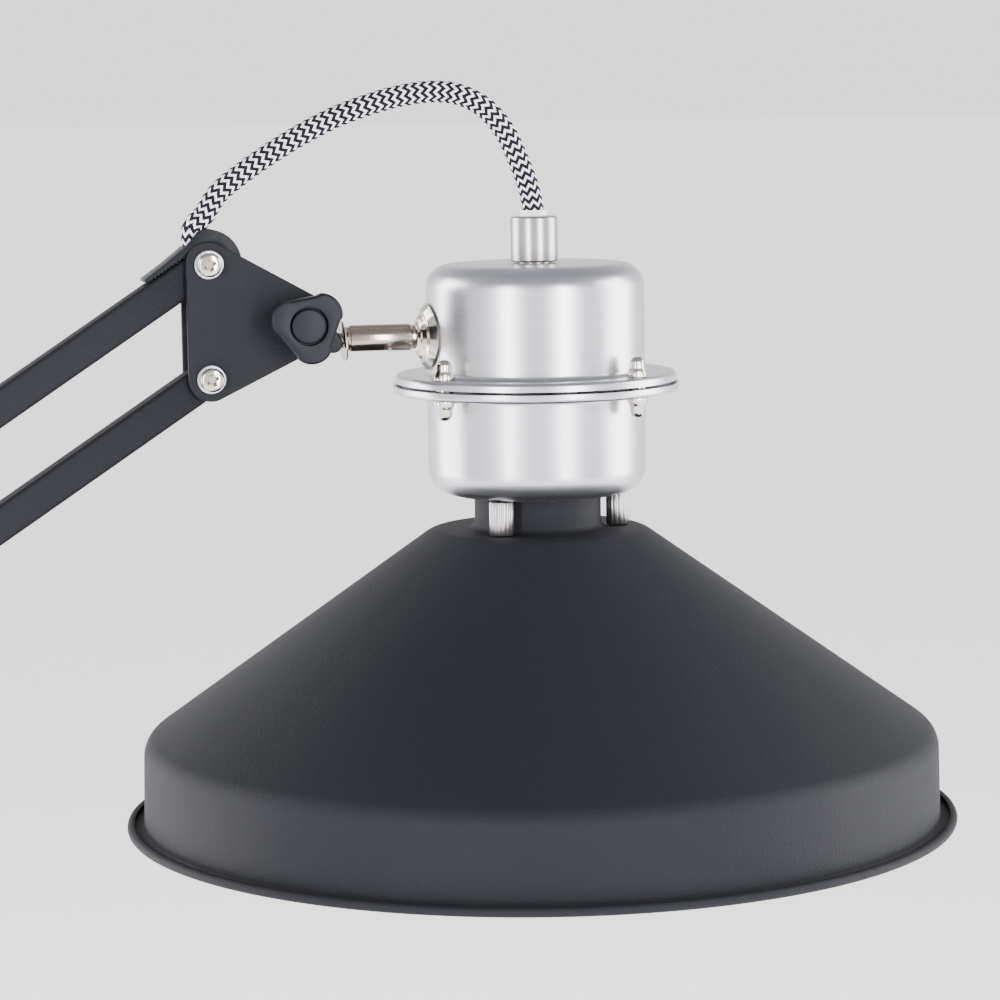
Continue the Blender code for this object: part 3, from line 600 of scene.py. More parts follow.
class Solid:
    """A mesh in the making, in millimetres."""

    def __init__(self) -> None:
        """Start an empty mesh."""
        self.bm = bmesh.new()

    def loft(self, rings: Sequence[Sequence[Vector]], closed: bool = False,
             tone: Callable[[int], int] | None = None) -> "Solid":
        """Skin rings of points that all have the same count.

        Args:
            rings: The rings in order.
            closed: True joins the last ring to the first; otherwise both ends are capped.
            tone: Gives the material number of the band after each ring.

        Returns:
            The solid itself.
        """
        made = [[self.bm.verts.new(point) for point in ring] for ring in rings]
        count = len(made[0])
        bands = list(zip(made, made[1:] + made[:1]))
        for number, (low, high) in enumerate(bands if closed else bands[:-1]):
            for index in range(count):
                after = (index + 1) % count
                face = self.bm.faces.new((low[index], low[after], high[after], high[index]))
                face.material_index = tone(number) if tone else 0
        if not closed:
            self.bm.faces.new(made[0][::-1])
            self.bm.faces.new(made[-1])
        return self

    def turned(self, profile: Iterable[Point], segments: int, closed: bool = False,
               tone: Callable[[int], int] | None = None) -> "Solid":
        """Turn a profile of (radius, height) points about the Z axis.

        Args:
            profile: The profile.
            segments: Points on each ring.
            closed: True if the profile is a loop.
            tone: Gives the material number of the band after each ring.

        Returns:
            The solid itself.
        """
        small = 0.0004
        rings = []
        for radius, height in profile:
            rings.append([Vector((max(radius, small) * math.cos(math.tau * i / segments),
                                  max(radius, small) * math.sin(math.tau * i / segments),
                                  height)) for i in range(segments)])
        return self.loft(rings, closed, tone)

    def extruded(self, outline: Profile, low: float, high: float,
                 holes: Iterable[Profile] = (), edge: float = 0.35, steps: int = 2) -> "Solid":
        """Extrude an outline of (x, z) points along Y and round its edges.

        Args:
            outline: The outer loop.
            low: The smaller y.
            high: The larger y.
            holes: Inner loops.
            edge: Size of the rounded edges, or 0.
            steps: Segments of the rounded edges.

        Returns:
            The solid itself.
        """
        edges = []
        for loop in (outline, *holes):
            verts = [self.bm.verts.new((point[0], low, point[1])) for point in loop]
            edges += [self.bm.edges.new(pair) for pair in zip(verts, verts[1:] + verts[:1])]
        bmesh.ops.triangle_fill(self.bm, use_beauty=True, edges=edges)
        grown = bmesh.ops.extrude_face_region(self.bm, geom=self.bm.faces[:])
        moved = [item for item in grown["geom"] if isinstance(item, bmesh.types.BMVert)]
        bmesh.ops.translate(self.bm, vec=(0.0, high - low, 0.0), verts=moved)
        bmesh.ops.recalc_face_normals(self.bm, faces=self.bm.faces[:])
        if edge > 0:
            bmesh.ops.dissolve_limit(self.bm, angle_limit=0.002, verts=self.bm.verts[:],
                                     edges=self.bm.edges[:])
            sharp = [item for item in self.bm.edges
                     if item.is_manifold and item.calc_face_angle(0.0) > math.radians(50)]
            bmesh.ops.bevel(self.bm, geom=sharp, offset=edge, segments=steps,
                            affect="EDGES", profile=0.5, clamp_overlap=True)
        return self

    def placed(self, matrix: Matrix) -> "Solid":
        """Move the solid and return it."""
        bmesh.ops.transform(self.bm, matrix=matrix, verts=self.bm.verts)
        return self

    def about(self, centre: Vector, axis: Axis = Axis.Z) -> "Solid":
        """Turn +Z onto an axis, move the solid to a centre and return it."""
        return self.placed(Matrix.Translation(centre) @ axis.matrix())

    def joined(self, other: "Solid") -> "Solid":
        """Add another solid's faces and return this one."""
        mesh = bpy.data.meshes.new("part")
        other.bm.to_mesh(mesh)
        other.bm.free()
        self.bm.from_mesh(mesh)
        bpy.data.meshes.remove(mesh)
        return self

    def cut(self, cutter: "Solid") -> "Solid":
        """Take another solid away from this one.

        Args:
            cutter: What is taken away; it is used up.

        Returns:
            What is left, as a new solid.
        """
        body, tool = self.shown("body_to_cut"), cutter.shown("cutting_tool")
        boolean = body.modifiers.new("cut", "BOOLEAN")
        boolean.operation = "DIFFERENCE"
        boolean.solver = "EXACT"
        boolean.object = tool
        mesh = plain_mesh(body)
        for spare in (body, tool):
            bpy.data.objects.remove(spare, do_unlink=True)
        left = Solid()
        left.bm.from_mesh(mesh)
        bpy.data.meshes.remove(mesh)
        bmesh.ops.scale(left.bm, vec=(1 / MM,) * 3, verts=left.bm.verts)
        return left

    def shown(self, name: str, finishes: Sequence[Finish] = (), angle: float = 32.0,
              clean: bool = True) -> bpy.types.Object:
        """Turn the solid into an object at the origin, in metres.

        Args:
            name: The object's name.
            finishes: Its finishes in the order of the material numbers.
            angle: Edges sharper than this stay sharp, in degrees.
            clean: True merges doubles and points the faces outwards first.

        Returns:
            The object.
        """
        if clean:
            bmesh.ops.remove_doubles(self.bm, verts=self.bm.verts, dist=MERGE_DISTANCE)
            bmesh.ops.dissolve_degenerate(self.bm, edges=self.bm.edges, dist=0.0001)
            bmesh.ops.recalc_face_normals(self.bm, faces=self.bm.faces)
        bmesh.ops.scale(self.bm, vec=(MM,) * 3, verts=self.bm.verts)
        mesh = bpy.data.meshes.new(name)
        self.bm.to_mesh(mesh)
        self.bm.free()
        for finish in finishes:
            mesh.materials.append(finish.material())
        mesh.shade_smooth()
        mesh.set_sharp_from_angle(angle=math.radians(angle))
        return add_object(name, mesh)

    def mounted(self, name: str, body: str, finish: Finish, *nodes: str,
                angle: float = 32.0) -> bpy.types.Object:
        """Show the solid in one finish, on a body and in place of frame nodes.

        Args:
            name: The object's name.
            body: The body that it rides on.
            finish: Its finish.
            nodes: The frame nodes that it stands for.
            angle: Edges sharper than this stay sharp, in degrees.

        Returns:
            The object.
        """
        return mount(self.shown(name, [finish], angle), body, finish, *nodes)


def plain_mesh(piece: bpy.types.Object) -> bpy.types.Mesh:
    """Return a piece's evaluated mesh as a mesh of its own.

    Args:
        piece: The piece, with its modifiers.

    Returns:
        The mesh.
    """
    graph = bpy.context.evaluated_depsgraph_get()
    graph.update()
    return bpy.data.meshes.new_from_object(piece.evaluated_get(graph))


def mount(piece: bpy.types.Object, body: str, finish: Finish, *nodes: str) -> bpy.types.Object:
    """Let a piece ride on a body and stand for frame nodes.

    Args:
        piece: The piece.
        body: The body that it rides on.
        finish: The finish; not used.
        nodes: The frame nodes that it stands for.

    Returns:
        The piece.
    """
    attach(piece, body)
    if nodes:
        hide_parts(*nodes)
    LOG.info("%s rides on %s: %d faces", piece.name, body, len(piece.data.polygons))
    return piece


# ---------------------------------------------------------------- repeats
class ShapeTree:
    """A Geometry Nodes tree with named inputs that ends in one finish."""

    def __init__(self, name: str, kinds: dict[str, str]) -> None:
        """Make the tree with its output and its named inputs.

        Args:
            name: The tree's name.
            kinds: The kind of socket of each input, by the input's name.
        """
        self.tree = bpy.data.node_groups.new(name, "GeometryNodeTree")
        face = self.tree.interface
        face.new_socket("Geometry", in_out="OUTPUT", socket_type="NodeSocketGeometry")
        self.sockets = {label: face.new_socket(label, in_out="INPUT",
                                               socket_type=f"NodeSocket{kind}").identifier
                        for label, kind in kinds.items()}
        self.maker = NodeMaker(self.tree)
        inputs = self.tree.nodes.new("NodeGroupInput")
        self.given = {label: Signal(self.maker, inputs.outputs[label]) for label in kinds}

    def end_with(self, geometry: Signal) -> None:
        """Realize the geometry, give it the finish and send it out."""
        real = self.maker.make("GeometryNodeRealizeInstances", None, {0: geometry})
        dressed = self.maker.make("GeometryNodeSetMaterial", None,
                                  {"Geometry": real, "Material": self.given["Finish"]})
        self.maker.make("NodeGroupOutput", None, {"Geometry": dressed})

    def run(self, piece: bpy.types.Object, values: dict) -> bpy.types.Mesh:
        """Return what the tree makes of a piece, and leave no modifier on the piece.

        Args:
            piece: What the tree starts from.
            values: Each input's value, by its name.

        Returns:
            The mesh that it makes.
        """
        modifier = piece.modifiers.new("shape", "NODES")
        modifier.node_group = self.tree
        for name, value in values.items():
            modifier[self.sockets[name]] = value
        result = plain_mesh(piece)
        piece.modifiers.clear()
        return result


class Repeater(ShapeTree):
    """Sets copies of a piece on the points of a mesh."""

    def __init__(self) -> None:
        """Build the tree."""
        super().__init__("set_copies_on_points", {
            "Points": "Geometry", "Piece": "Object", "Finish": "Material", "Turn": "Vector"})
        piece = self.maker.make("GeometryNodeObjectInfo", None,
                                {"Object": self.given["Piece"]}, "Geometry")
        turn = self.maker.make("FunctionNodeEulerToRotation", None, {0: self.given["Turn"]})
        self.end_with(self.maker.make("GeometryNodeInstanceOnPoints", None, {
            "Points": self.given["Points"], "Instance": piece, "Rotation": turn}))

    def set_on(self, name: str, body: str, points: Iterable[Vector],
               pattern: bpy.types.Object, finish: Finish, *nodes: str,
               turn: Point = (0.0, 0.0, 0.0)) -> None:
        """Make one piece of copies at the points, mount it and remove the pattern.

        Args:
            name: Name of the new piece.
            body: The body that it rides on.
            points: Places of the copies, in millimetres.
            pattern: What is copied; its own origin lands on the points.
            finish: The copies' finish.
            nodes: The frame nodes that the piece stands for.
            turn: How each copy is turned, as Euler angles in radians.
        """
        mesh = bpy.data.meshes.new(name + "_points")
        mesh.from_pydata([point * MM for point in points], [], [])
        made = add_object(name, mesh)
        made.data = self.run(made, {"Piece": pattern, "Finish": finish.material(), "Turn": turn})
        made.data.name = name
        bpy.data.meshes.remove(mesh)
        bpy.data.objects.remove(pattern, do_unlink=True)
        mount(made, body, finish, *nodes)


class CoilWinder(ShapeTree):
    """Winds wire into a close coil spring along +Z."""

    def __init__(self) -> None:
        """Build the tree."""
        super().__init__("wind_coil", {"Turns": "Float", "Coil Radius": "Float",
                                       "Wire Radius": "Float", "Length": "Float",
                                       "Finish": "Material"})
        line = self.maker.make("GeometryNodeCurveSpiral", None, {
            "Resolution": 20, "Rotations": self.given["Turns"],
            "Start Radius": self.given["Coil Radius"], "End Radius": self.given["Coil Radius"],
            "Height": self.given["Length"]})
        section = self.maker.make("GeometryNodeCurvePrimitiveCircle", None,
                                  {"Resolution": 8, "Radius": self.given["Wire Radius"]})
        self.end_with(self.maker.make("GeometryNodeCurveToMesh", None, {
            "Curve": line, "Profile Curve": section, "Fill Caps": True}))

    def wind(self, turns: float, coil: float, wire: float, length: float,
             finish: Finish) -> Solid:
        """Return a coil along +Z from the origin, all sizes in millimetres.

        Args:
            turns: How many turns it has.
            coil: Radius of the coil's middle line.
            wire: Radius of the wire.
            length: Length of the coil.
            finish: Finish of the wire.

        Returns:
            The coil.
        """
        made = add_object("coil", bpy.data.meshes.new("coil"))
        result = self.run(made, {"Turns": turns, "Coil Radius": coil * MM,
                                 "Wire Radius": wire * MM, "Length": length * MM,
                                 "Finish": finish.material()})
        bpy.data.objects.remove(made, do_unlink=True)
        solid = Solid()
        solid.bm.from_mesh(result)
        bpy.data.meshes.remove(result)
        return solid.placed(Matrix.Scale(1 / MM, 4))


# ---------------------------------------------------------------- cords
@dataclass
class FlexRoute:
    """A round cord's centre line with a frame that doesn't twist along it."""

    points: list[Vector]
    radius: float = 3.25
    sides: int = 28
    run: list[float] = field(init=False)
    frames: list[tuple[Vector, Vector]] = field(init=False)

    def __post_init__(self) -> None:
        """Work out the length at each point and carry a frame along the line."""
        self.run = [0.0]
        for here, after in zip(self.points, self.points[1:]):
            self.run.append(self.run[-1] + (after - here).length)
        side = None
        self.frames = []
        for index in range(len(self.points)):
            way = self.points[min(index + 1, len(self.points) - 1)]
            way = (way - self.points[max(index - 1, 0)]).normalized()
            if side is None:
                side = way.orthogonal().normalized()
            side = (side - way * side.dot(way)).normalized()
            self.frames.append((side, way.cross(side)))

    def tube(self, name: str, first: int = 0, last: int | None = None,
             start_cap: bool = True, end_cap: bool = True) -> bpy.types.Object:
        """Return the cord between two of its points, with its UV map.

        Args:
            name: Name of the piece.
            first: First point.
            last: Last point, or None for the end.
            start_cap: True closes the start.
            end_cap: True closes the end.

        Returns:
            The tube, in metres.
        """
        last = len(self.points) - 1 if last is None else last
        bm = bmesh.new()
        uv_layer = bm.loops.layers.uv.new("UVMap")
        rings = []
        for index in range(first, last + 1):
            across, up = self.frames[index]
            ring = []
            for side in range(self.sides):
                angle = math.tau * side / self.sides
                offset = across * math.cos(angle) + up * math.sin(angle)
                ring.append(bm.verts.new((self.points[index] + offset * self.radius) * MM))
            rings.append(ring)
        for row, (low, high) in enumerate(zip(rings, rings[1:])):
            lengths = (self.run[first + row] * MM, self.run[first + row + 1] * MM)
            for side in range(self.sides):
                after = (side + 1) % self.sides
                face = bm.faces.new((low[side], low[after], high[after], high[side]))
                shares = (side / self.sides, (side + 1) / self.sides)
                corners = ((0, 0), (0, 1), (1, 1), (1, 0))
                for loop, (end, turn) in zip(face.loops, corners):
                    loop[uv_layer].uv = (lengths[end], shares[turn])
        for wanted, ring in ((start_cap, rings[0][::-1]), (end_cap, rings[-1])):
            if wanted:
                bm.faces.new(ring)
        mesh = bpy.data.meshes.new(name)
        bm.to_mesh(mesh)
        bm.free()
        mesh.materials.append(BRAID.material())
        mesh.shade_smooth()
        mesh.set_sharp_from_angle(angle=math.radians(60))
        return add_object(name, mesh)

    def declare(self, piece: bpy.types.Object, first: int, last: int) -> None:
        """Log the cord's length between two of its points.

        Args:
            piece: The cord's tube.
            first: Its first point.
            last: Its last point.
        """
        path = [point * MM for point in self.points[first:last + 1]]
        length = (self.run[last] - self.run[first]) * MM
        2 * self.radius * MM
        LOG.info("%s: %.0f mm of flex", piece.name, length / MM)


@dataclass
class HeadFlex:
    """The loop from the cable guide to the gland, and the bend at the elbow."""

    loop: tuple[tuple[float, float], ...] = (
        (-99.6, 37.2), (-94.8, 43.9), (-87.9, 49.4), (-79.4, 55.0), (-69.5, 60.7),
        (-58.7, 65.8), (-47.2, 69.6), (-38.5, 71.6), (-29.5, 72.4), (-21.7, 71.2),
        (-14.4, 67.2), (-8.6, 60.3), (-4.3, 51.2), (-1.4, 43.0), (0.0, 35.3))
    inside_gland: float = 31.0
    spacing: float = 1.3
    splits: tuple[float, float] = (-79.0, -17.0)
    held_points: int = 8
    gap_points: int = 2

    def build(self) -> None:
        """Make the three lengths of the loop and the elbow bend."""
        self.build_loop()
        self.build_elbow()

    def build_loop(self) -> None:
        """Make the loop in three lengths."""
        side = Vector((-UPPER_DIR.z, 0.0, UPPER_DIR.x))
        route = [HEAD_TOP - UPPER_DIR * 1.5 + side * 3.5, HEAD_TOP + UPPER_DIR * 2.6 + side * 10.4]
        route += [HEAD + Vector((x, 0.0, z)) for x, z in self.loop]
        route.append(HEAD + Vector((0.0, 0.0, self.inside_gland)))
        flex = FlexRoute(smooth(route, self.spacing))
        cuts = [0]
        cuts += [min(i for i, p in enumerate(flex.points) if p.x >= HEAD.x + x)
                 for x in self.splits]
        cuts.append(len(flex.points) - 1)
        held, gap = self.held_points, self.gap_points
        bends = (("upper_bar", "head_plates", cuts[0] + held, cuts[1] - gap),
                 ("head_plates", "tilt_block", cuts[1] + gap, cuts[2] - gap),
                 ("tilt_block", "head", cuts[2] + gap, cuts[3] - held))
        nodes = ("head_flex_arm", "head_flex_middle", "head_flex_head")
        for number, (node, (first, second, start, end)) in enumerate(zip(nodes, bends)):
            low, high = cuts[number], cuts[number + 1]
            piece = flex.tube(f"{node}_braid", low, high, number == 0, number == 2)
            flex.points[start] * MM
            flex.points[end] * MM
            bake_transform(piece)
            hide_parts(node)
            flex.declare(piece, low, high)

    def build_elbow(self) -> None:
        """Make the slack bend between the two arms."""
        route = [ELBOW_TOP - UPPER_DIR * 6.0, ELBOW_TOP - UPPER_DIR * 13.0,
                 ELBOW_TOP + Vector((-24.0, 0.0, -17.5)), ELBOW_TOP + Vector((-31.5, 0.0, -31.0)),
                 ELBOW_TOP + Vector((-31.0, 0.0, -45.5)), ELBOW_LEFT + LOWER_DIR * 15.0,
                 ELBOW_LEFT + LOWER_DIR * 6.5]
        flex = FlexRoute(smooth(route, self.spacing))
        last = len(flex.points) - 1
        piece = flex.tube("elbow_flex_braid")
        flex.points[0] * MM
        flex.points[last // 2] * MM
        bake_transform(piece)
        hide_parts("elbow_flex")
        flex.declare(piece, 0, last)


@dataclass
class MainsLead:
    """Mains lead from the base to its coil, the tie and the plug."""

    route: tuple[tuple[float, float, float], ...] = (
        (0.0, 139.6, 9.0), (0.0, 144.0, 9.0), (0.8, 153.0, 7.2), (3.0, 169.0, 3.9),
        (3.5, 188.0, 3.45), (-2.0, 204.0, 3.45), (-13.0, 218.0, 3.45), (-29.0, 228.5, 3.45),
        (-48.0, 234.0, 3.45), (-66.0, 235.2, 3.45), (-80.0, 234.7, 3.45))
    centre: tuple[float, float] = (-82.0, 182.0)
    turn_radii: tuple[float, ...] = (45.5, 39.0, 32.5)
    low: float = 3.45
    layer: float = 6.5
    points_per_turn: int = 40

    def coil_points(self) -> list[Vector]:
        """Return the turns of the coil, outside in on the desk and back out on top."""
        turns = [*self.turn_radii, *self.turn_radii[::-1]]
        points = []
        for number, radius in enumerate(turns):
            after = turns[min(number + 1, len(turns) - 1)]
            level = self.low + (self.layer if number >= len(self.turn_radii) else 0.0)
            next_level = self.low + (self.layer if number + 1 >= len(self.turn_radii) else 0.0)
            for step in range(self.points_per_turn):
                share = step / self.points_per_turn
                late = max(0.0, (share - 0.75) / 0.25)
                ease = late * late * (3 - 2 * late)
                here = radius + (after - radius) * ease
                angle = math.pi / 2 + math.tau * share
                points.append(Vector((self.centre[0] + here * math.cos(angle),
                                      self.centre[1] + here * math.sin(angle),
                                      level + (next_level - level) * ease)))
        return points

    def build(self) -> None:
        """Make the lead with what is on it."""
        plug_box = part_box("plug")
        plug_x = (plug_box[0].x + plug_box[1].x) / (2 * MM)
        plug_back = plug_box[1].y / MM
        coil = self.coil_points()
        entry = [Vector(point) for point in self.route[:-1]]
        top = self.low + self.layer
        tail = [Vector((self.centre[0] - 26.0, self.centre[1] + 40.5, top)),
                Vector((self.centre[0] - 42.0, self.centre[1] + 34.5, top - 1.2)),
                Vector((plug_x + 10.0, plug_back + 25.0, top - 3.0)),
                Vector((plug_x + 2.0, plug_back + 14.0, 6.9)),
                Vector((plug_x, plug_back + 5.0, 6.9)),
                Vector((plug_x, plug_back - 6.0, 6.9))]
        lead = FlexRoute(smooth(entry + coil + tail, 2.6), sides=20)
        last = len(lead.points) - 1
        piece = lead.tube("mains_lead_braid")
        pieces = [self.build_plug(plug_box), self.build_pins(plug_box), self.build_tie()]
        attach(piece, "base")
        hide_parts("mains_lead", "lead_coil")
        lead.declare(piece, 0, last)

    def build_plug(self, box: tuple[Vector, Vector]) -> bpy.types.Object:
        """Make the plug's body: a rounded grip that narrows to the flex.

        Args:
            box: Corners of the frame's plug, in metres.

        Returns:
            The piece.
        """
        low, high = box[0] / MM, box[1] / MM
        centre = (low + high) / 2
        back = high.y
        front = back - 45.0
        half_height = (high.z - low.z) / 2
        sections = ((0.0, 12.9, 0.86), (1.2, 13.4, 0.98), (13.0, 13.4, 1.0),
                    (20.0, 10.6, 1.0), (28.0, 9.2, 0.95), (36.0, 8.4, 0.92),
                    (41.0, 5.8, 0.72), (45.0, 4.6, 0.66))
        rings = []
        for along, half_width, share in sections:
            ring = []
            for index in range(48):
                angle = math.tau * index / 48
                across, up = math.cos(angle), math.sin(angle)
                ring.append(Vector((
                    centre.x + half_width * math.copysign(abs(across) ** 0.55, across),
                    front + along,
                    centre.z + half_height * share * math.copysign(abs(up) ** 0.65, up))))
            rings.append(ring)
        return Solid().loft(rings).mounted("plug_body", "base", PLASTIC, "plug", angle=40.0)

    def build_pins(self, box: tuple[Vector, Vector]) -> bpy.types.Object:
        """Make the two round pins with their sleeves.

        Args:
            box: Corners of the frame's plug, in metres.

        Returns:
            The piece.
        """
        centre_x = (box[0].x + box[1].x) / (2 * MM)
        pins = Solid()
        profile = rounded([(0.0, 0.0, 0), (2.35, 0.0, 1.0), (2.35, 9.0, 0), (2.2, 9.2, 0),
                           (2.2, 20.0, 0), (0.0, 20.0, 0)], 4)
        for sign in (-1, 1):
            pins.joined(Solid().turned(profile, 20).about(
                Vector((centre_x + sign * 9.5, box[0].y / MM, 6.9)), Axis.Y))
        return pins.mounted("plug_pins", "base", NICKEL)

    def build_tie(self) -> bpy.types.Object:
        """Make the wire tie that holds the coil's turns together."""
        half_width, half_height, thickness = 10.6, 6.9, 0.9
        outer = rounded([(0.0, -half_height, 0), (half_width, -half_height, 4.0),
                         (half_width, half_height, 4.0), (-half_width, half_height, 4.0),
                         (-half_width, -half_height, 4.0), (0.0, -half_height, 0)], 6)[:-1]
        inner = [point * (1 - thickness / half_width) for point in outer]
        tie = Solid().extruded(outer, -2.5, 2.5, [inner], 0.2, 1)
        spot = polar(20.0, 39.0)
        place = Matrix.Translation((self.centre[0] + spot.x, self.centre[1] + spot.y,
                                    half_height + 0.15))
        tie.placed(place @ Matrix.Rotation(math.radians(20.0), 4, "Z"))
        return tie.mounted("coil_tie", "base", PLASTIC)


# ---------------------------------------------------------------- fasteners
@dataclass
class PivotFasteners:
    """Pan head screws with washers and nuts that join the bars and plates."""

    repeater: Repeater
    shank: float = 2.0
    washer: float = 4.25
    washer_thickness: float = 0.8
    head: float = 3.55
    head_height: float = 2.3
    post_end: float = 19.0

    def front(self) -> Solid:
        """Return a pan head with a cross slot, towards +Z, for a washer at z = 0."""
        seat = self.washer_thickness
        pan = [Vector((0.0, 0.05)), Vector((self.head, 0.05))]
        pan += arc((self.head - 1.1, seat + self.head_height - 1.1), 1.1, 0.0, 75.0, 6)
        pan += [Vector((1.4, seat + self.head_height + 0.12)),
                Vector((0.0, seat + self.head_height + 0.15))]
        cut_head = Solid().turned(pan, 40)
        for turn in (0.0, 90.0):
            tool = Solid()
            rings = []
            for height, share in ((seat + 0.9, 0.45), (seat + 3.2, 1.0)):
                spin = Matrix.Rotation(math.radians(turn + 25.0), 3, "Z")
                corners = ((-2.3, -0.58), (2.3, -0.58), (2.3, 0.58), (-2.3, 0.58))
                rings.append([spin @ Vector((x * share, y, height)) for x, y in corners])
            cut_head = cut_head.cut(tool.loft(rings))
        return cut_head

    def washer_ring(self) -> Solid:
        """Return a washer from z = 0 towards +Z."""
        seat = self.washer_thickness
        inner = self.head - 0.9
        return Solid().turned([(inner, 0.0), (self.washer - 0.2, 0.0), (self.washer, 0.15),
                               (self.washer, seat - 0.2), (self.washer - 0.25, seat),
                               (inner, seat)], 40, closed=True)

    def back(self) -> Solid:
        """Return a hexagon nut and the screw's end, towards +Z, for a washer at z = 0."""
        seat = self.washer_thickness
        nut = 3.5 / math.cos(math.radians(30))

        def hexagon(angle: float) -> float:
            """Return the distance to the nut's flat sides at an angle."""
            flat_side = math.radians((angle % 60.0) - 30.0)
            return nut * math.cos(math.radians(30)) / math.cos(flat_side)

        rings = [ring(48, height, lambda angle: min(hexagon(angle), nut * share))
                 for height, share in ((seat, 0.94), (seat + 0.35, 1.0), (seat + 2.7, 1.0),
                                       (seat + 3.1, 0.92))]
        end = Solid().turned([(0.0, seat), (1.9, seat), (1.9, seat + 3.6), (1.5, seat + 4.0),
                              (0.0, seat + 4.0)], 24)
        return Solid().loft(rings).joined(end)

    def set_screws(self, name: str, body: str, spots: Sequence[Vector],
                   nodes: Sequence[str]) -> None:
        """Set screws, washers and nuts on a body's pivots.

        Args:
            name: Start of the pieces' names.
            body: The body that they ride on.
            spots: The pivots in the arm plane.
            nodes: The frame nodes that they stand for.
        """
        seat = WASHER_SEAT_Y
        fronts = [spot + Vector((0.0, -seat, 0.0)) for spot in spots]
        backs = [spot + Vector((0.0, seat, 0.0)) for spot in spots]
        shank = Solid().turned([(0.0, -seat), (self.shank, -seat), (self.shank, seat),
                                (0.0, seat)], 24)
        for part, places, solid, finish, sign in (
                ("screws", fronts, self.front(), NICKEL, 1),
                ("nuts", backs, self.back(), NICKEL, -1),
                ("washers", fronts, self.washer_ring(), ZINC, 1),
                ("back_washers", backs, self.washer_ring(), ZINC, -1),
                ("shanks", spots, shank, NICKEL, 1)):
            self.repeater.set_on(f"{name}_{part}", body, places, solid.shown(part), finish,
                                 *(nodes if part == "screws" else ()),
                                 turn=(sign * math.pi / 2, 0.0, 0.0))

    def post(self, name: str, body: str, spot: Vector, ends: tuple[float, float],
             *nodes: str) -> None:
        """Make a grooved cross pin that carries springs.

        Args:
            name: Name of the piece.
            body: The body that it rides on.
            spot: Its place in the arm plane.
            ends: Its first and last y.
            nodes: The frame nodes that it stands for.
        """
        low, high = ends
        profile = [(0.0, low), (3.1, low), (3.4, low + 0.3), (3.4, low + 1.3),
                   (3.2, low + 1.5), (self.shank, low + 1.7)]
        profile += [(self.shank, high - 1.7), (3.2, high - 1.5), (3.4, high - 1.3),
                    (3.4, high - 0.3), (3.1, high), (0.0, high)]
        pin = Solid().turned(profile, 32).about(spot, Axis.Y)
        pin.mounted(name, body, NICKEL, *nodes)


# ---------------------------------------------------------------- head
@dataclass
class Shade:
    """The spun shade with its rolled rim, and the fluted standoffs above it."""

    repeater: Repeater
    wall: float = 1.0
    neck: float = 19.1
    neck_top: float = -48.4
    top: float = -58.6
    apex: float = -35.8
    slope: float = 0.7115
    crease: float = 120.4
    band: float = 120.95
    groove: float = -147.15
    bead_centre: tuple[float, float] = (124.6, -146.7)
    bead: float = 0.45
    rim_bands: int = 20
    neck_bands: int = 2
    segments: int = 224
    standoff_angles: tuple[float, ...] = (230.0, 350.0, 110.0)
    standoff_circle: float = 24.3
    standoff: float = 3.6
    flutes: int = 14

    def build(self) -> None:
        """Make the shade and its standoffs."""
        shoulder = (self.apex - self.top) / self.slope
        crease_z = self.apex - self.slope * self.crease
        path = rounded([(self.neck, self.neck_top, 0), (self.neck, self.top, 2.2),
                        (shoulder, self.top, 9.0), (self.crease, crease_z, 7.5),
                        (self.band, self.groove, 1.5), (self.bead_centre[0], self.groove, 0)])
        path += arc(self.bead_centre, self.bead, -75.0, 130.0, 9)
        profile = walled(path, self.wall)
        first = len(path) + self.rim_bands
        last = 2 * len(path) - self.neck_bands
        shell = Solid().turned(profile, self.segments, closed=True,
                               tone=lambda band: int(first <= band < last))
        shell.about(HEAD)
        mount(shell.shown("spun_shade", [POWDER, ENAMEL]), "head", POWDER, "shade")
        self.build_standoffs()

    def build_standoffs(self) -> None:
        """Make the three fluted standoffs between the shade and the lower cup."""
        low, high = self.top + 0.3, self.neck_top + 0.1

        def fluted(angle: float) -> float:
            """Return the radius as a share of the widest one at an angle."""
            flute = abs(math.sin(math.radians(angle * self.flutes / 2))) ** 0.6
            return 0.94 + 0.06 * flute

        rings = [ring(self.flutes * 8, height,
                      lambda angle: self.standoff * share * fluted(angle))
                 for height, share in ((low, 0.92), (low + 0.4, 1.0), (high - 0.4, 1.0),
                                       (high, 0.92))]
        spots = [HEAD + Vector((*polar(angle, self.standoff_circle), 0.0))
                 for angle in self.standoff_angles]
        self.repeater.set_on("fluted_standoffs", "head", spots,
                             Solid().loft(rings).shown("standoff", angle=50.0), SATIN,
                             "standoff_1", "standoff_2", "standoff_3")


